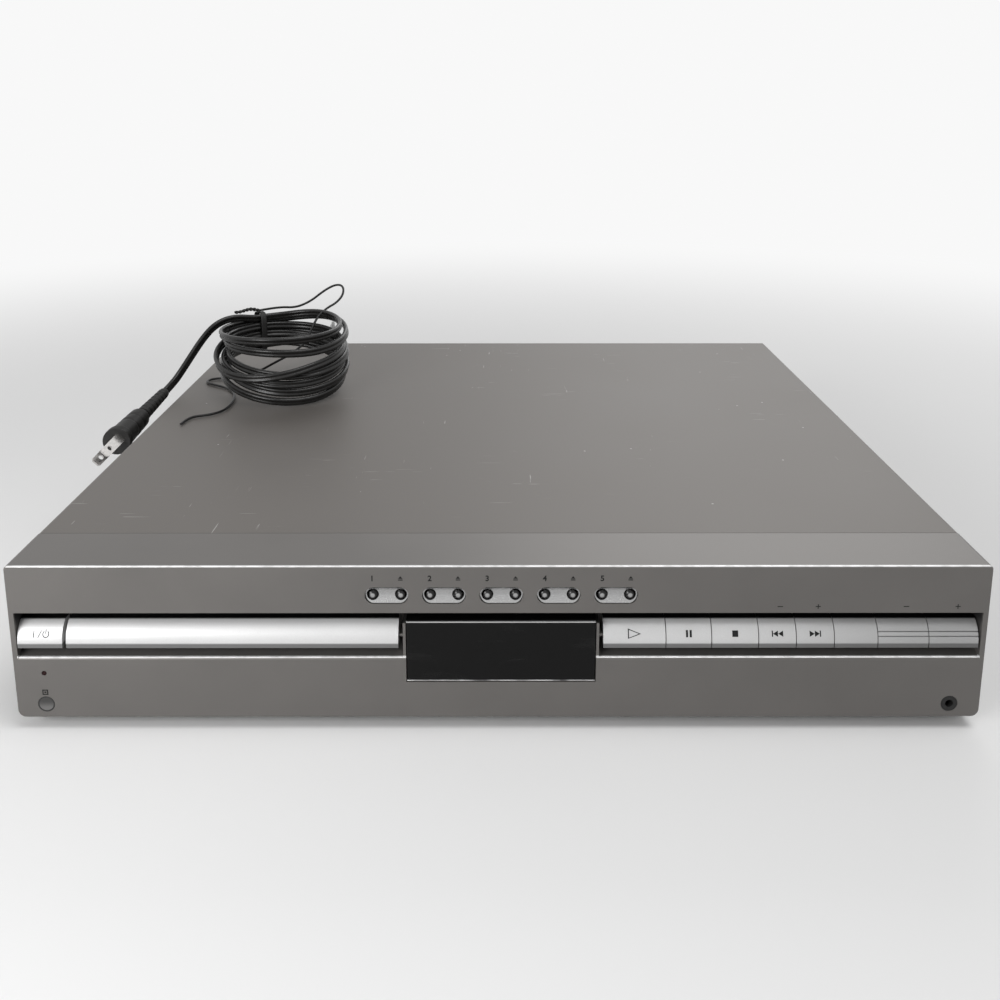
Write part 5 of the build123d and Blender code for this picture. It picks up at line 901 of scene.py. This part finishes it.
# Circuit boards: green lacquered laminate with copper tracks under the lacquer, and parts in
# black and brown.
board = Finish("green circuit board", Roughness=0.4)
board_tracks = board.node("ShaderNodeTexBrick", {}, {"Vector": board.place, "Scale": 90.0,
                                                     "Mortar Size": 0.06}, 1)
board_parts = board.noise(0.006, 2).rise(0.48, 0.52)
green = board.mix(board_tracks, (0.016, 0.075, 0.030, 1), (0.04, 0.15, 0.06, 1))
board.feed("Base Color", board.mix(board_parts, green, (0.020, 0.022, 0.020, 1)))
board.feed("Roughness", 0.30 + board_parts * 0.22)
board.put_on(*[nodes[name] for name in ("front_circuit_board", "main_board", "power_board")])
TAPE_Z = 0.024
ferrite = Finish("ferrite and tape", Roughness=0.55)
ferrite_band = (ferrite.axes()[2] - TAPE_Z).rise(0, 0.0008)
ferrite_tape = ferrite.mix(ferrite.noise(0.004, 3), (0.42, 0.28, 0.04, 1), (0.56, 0.40, 0.07, 1))
ferrite.feed("Base Color", ferrite.mix(ferrite_band, grey(0.03), ferrite_tape))
ferrite.put_on(nodes["transformer"])
sink = Finish("extruded aluminium", Metallic=0.9, Roughness=0.32)
sink_lines = sink.noise(0.0012, 2, at=sink.stretched(1, 1, 0.05))
sink.feed("Base Color", sink.mix(sink_lines, grey(0.42), grey(0.60)))
sink.feed("Roughness", 0.26 + sink_lines * 0.14)
sink.put_on(nodes["heatsink"])

# Changer's moving parts: grey acetal cage, lift frame and gears, and a pickup with a small lens.
acetal = Finish("grey acetal", Roughness=0.4)
acetal_cloud = acetal.noise(0.010, 4)
acetal.feed("Base Color", acetal.mix(acetal_cloud, grey(0.17), grey(0.25)))
acetal.feed("Roughness", 0.34 + acetal_cloud * 0.14)
acetal.bumps(acetal.noise(0.0008, 2), 0.00004, 0.3)
acetal.put_on(*[nodes[name] for name in ("disc_stocker", "base_unit", "drawer_gear", "motor_gear")])
pickup = Finish("pickup with lens", Roughness=0.35)
across, inward, up = pickup.axes()
LENS_X, LENS_Y, LENS_R, LENS_Z = -0.1175, -0.097, 0.0035, 0.0365
is_lens = ((across - LENS_X).away(inward - LENS_Y) < LENS_R) * (up > LENS_Z)
pickup_shade = pickup.mix(pickup.noise(0.003, 3), grey(0.018), grey(0.035))
pickup.feed("Base Color", pickup.mix(is_lens, pickup_shade, (0.05, 0.10, 0.22, 1)))
pickup.feed("Roughness", 0.38 - is_lens * 0.33)
pickup.put_on(nodes["optical_pickup"])

# Floor and light: a pale floor that shows white but keeps the shadows, a soft lamp high in
# front like a bright ceiling, one low from the left, and a weak one from behind.
SEEN_WHITE, SKY_LIGHT = 0.94, 0.28
FLOOR_SIZE, FADE = 60, (0.28, 1.3)
bpy.ops.mesh.primitive_plane_add(size=FLOOR_SIZE, location=(0, 0, 0))
floor = bpy.context.object
floor.name = "floor"
floor.select_set(False)
floor_finish = Finish("pale floor", Roughness=0.85)
floor_finish.feed("Base Color", floor_finish.mix(floor_finish.noise(0.4, 2), grey(0.80),
                                                grey(0.84)))
from_middle = floor_finish.node("ShaderNodeVectorMath", {"operation": "LENGTH"},
                                {0: floor_finish.place}, "Value")
rays = [floor_finish.node("ShaderNodeLightPath", {}, {}, f"Is {ray} Ray")
        for ray in ("Camera", "Glossy", "Transmission")]
backdrop = floor_finish.node("ShaderNodeEmission", {}, {"Strength": SEEN_WHITE})
far_off = from_middle.rise(*FADE) * (rays[0] + rays[1] + rays[2])
near = Wire(floor_finish, floor_finish.shader.outputs[0])
fade = floor_finish.node("ShaderNodeMixShader", {}, {0: far_off, 1: near, 2: backdrop})
floor_output = floor_finish.tree.nodes["Material Output"]
floor_finish.tree.links.new(fade.socket, floor_output.inputs["Surface"])
floor_finish.put_on(floor)

world = bpy.data.worlds.new("studio")
bpy.context.scene.world = world
world.use_nodes = True
world_nodes = world.node_tree
sky = world_nodes.nodes["Background"]
sky.inputs["Color"].default_value = (1.0, 1.0, 1.0, 1)
sky_rays = world_nodes.nodes.new("ShaderNodeLightPath")
seen = sky_rays.outputs["Is Camera Ray"]
for ray in ("Is Glossy Ray", "Is Transmission Ray"):
    either = world_nodes.nodes.new("ShaderNodeMath")
    either.operation = "MAXIMUM"
    world_nodes.links.new(seen, either.inputs[0])
    world_nodes.links.new(sky_rays.outputs[ray], either.inputs[1])
    seen = either.outputs[0]
strength = world_nodes.nodes.new("ShaderNodeMapRange")
strength.inputs["To Min"].default_value = SKY_LIGHT
strength.inputs["To Max"].default_value = SEEN_WHITE
world_nodes.links.new(seen, strength.inputs["Value"])
world_nodes.links.new(strength.outputs[0], sky.inputs["Strength"])


def soft_lamp(name, place, aim, size, power):
    data = bpy.data.lights.new(name, "AREA")
    data.shape = "RECTANGLE"
    data.size, data.size_y = size
    data.energy = power
    lamp = bpy.data.objects.new(name, data)
    lamp.location = place
    lamp.rotation_euler = (Vector(aim) - Vector(place)).to_track_quat("-Z", "Y").to_euler()
    bpy.context.scene.collection.objects.link(lamp)


soft_lamp("ceiling_lamp", (0.5, -0.45, 1.7), (0, 0, 0.05), (1.2, 0.8), 14)
soft_lamp("left_lamp", (-0.60, -0.80, 0.34), (-0.1, -0.1, 0.04), (0.5, 0.5), 6.2)
soft_lamp("back_lamp", (0.6, 1.7, 1.2), (0, 0, 0.05), (1.2, 0.8), 7)
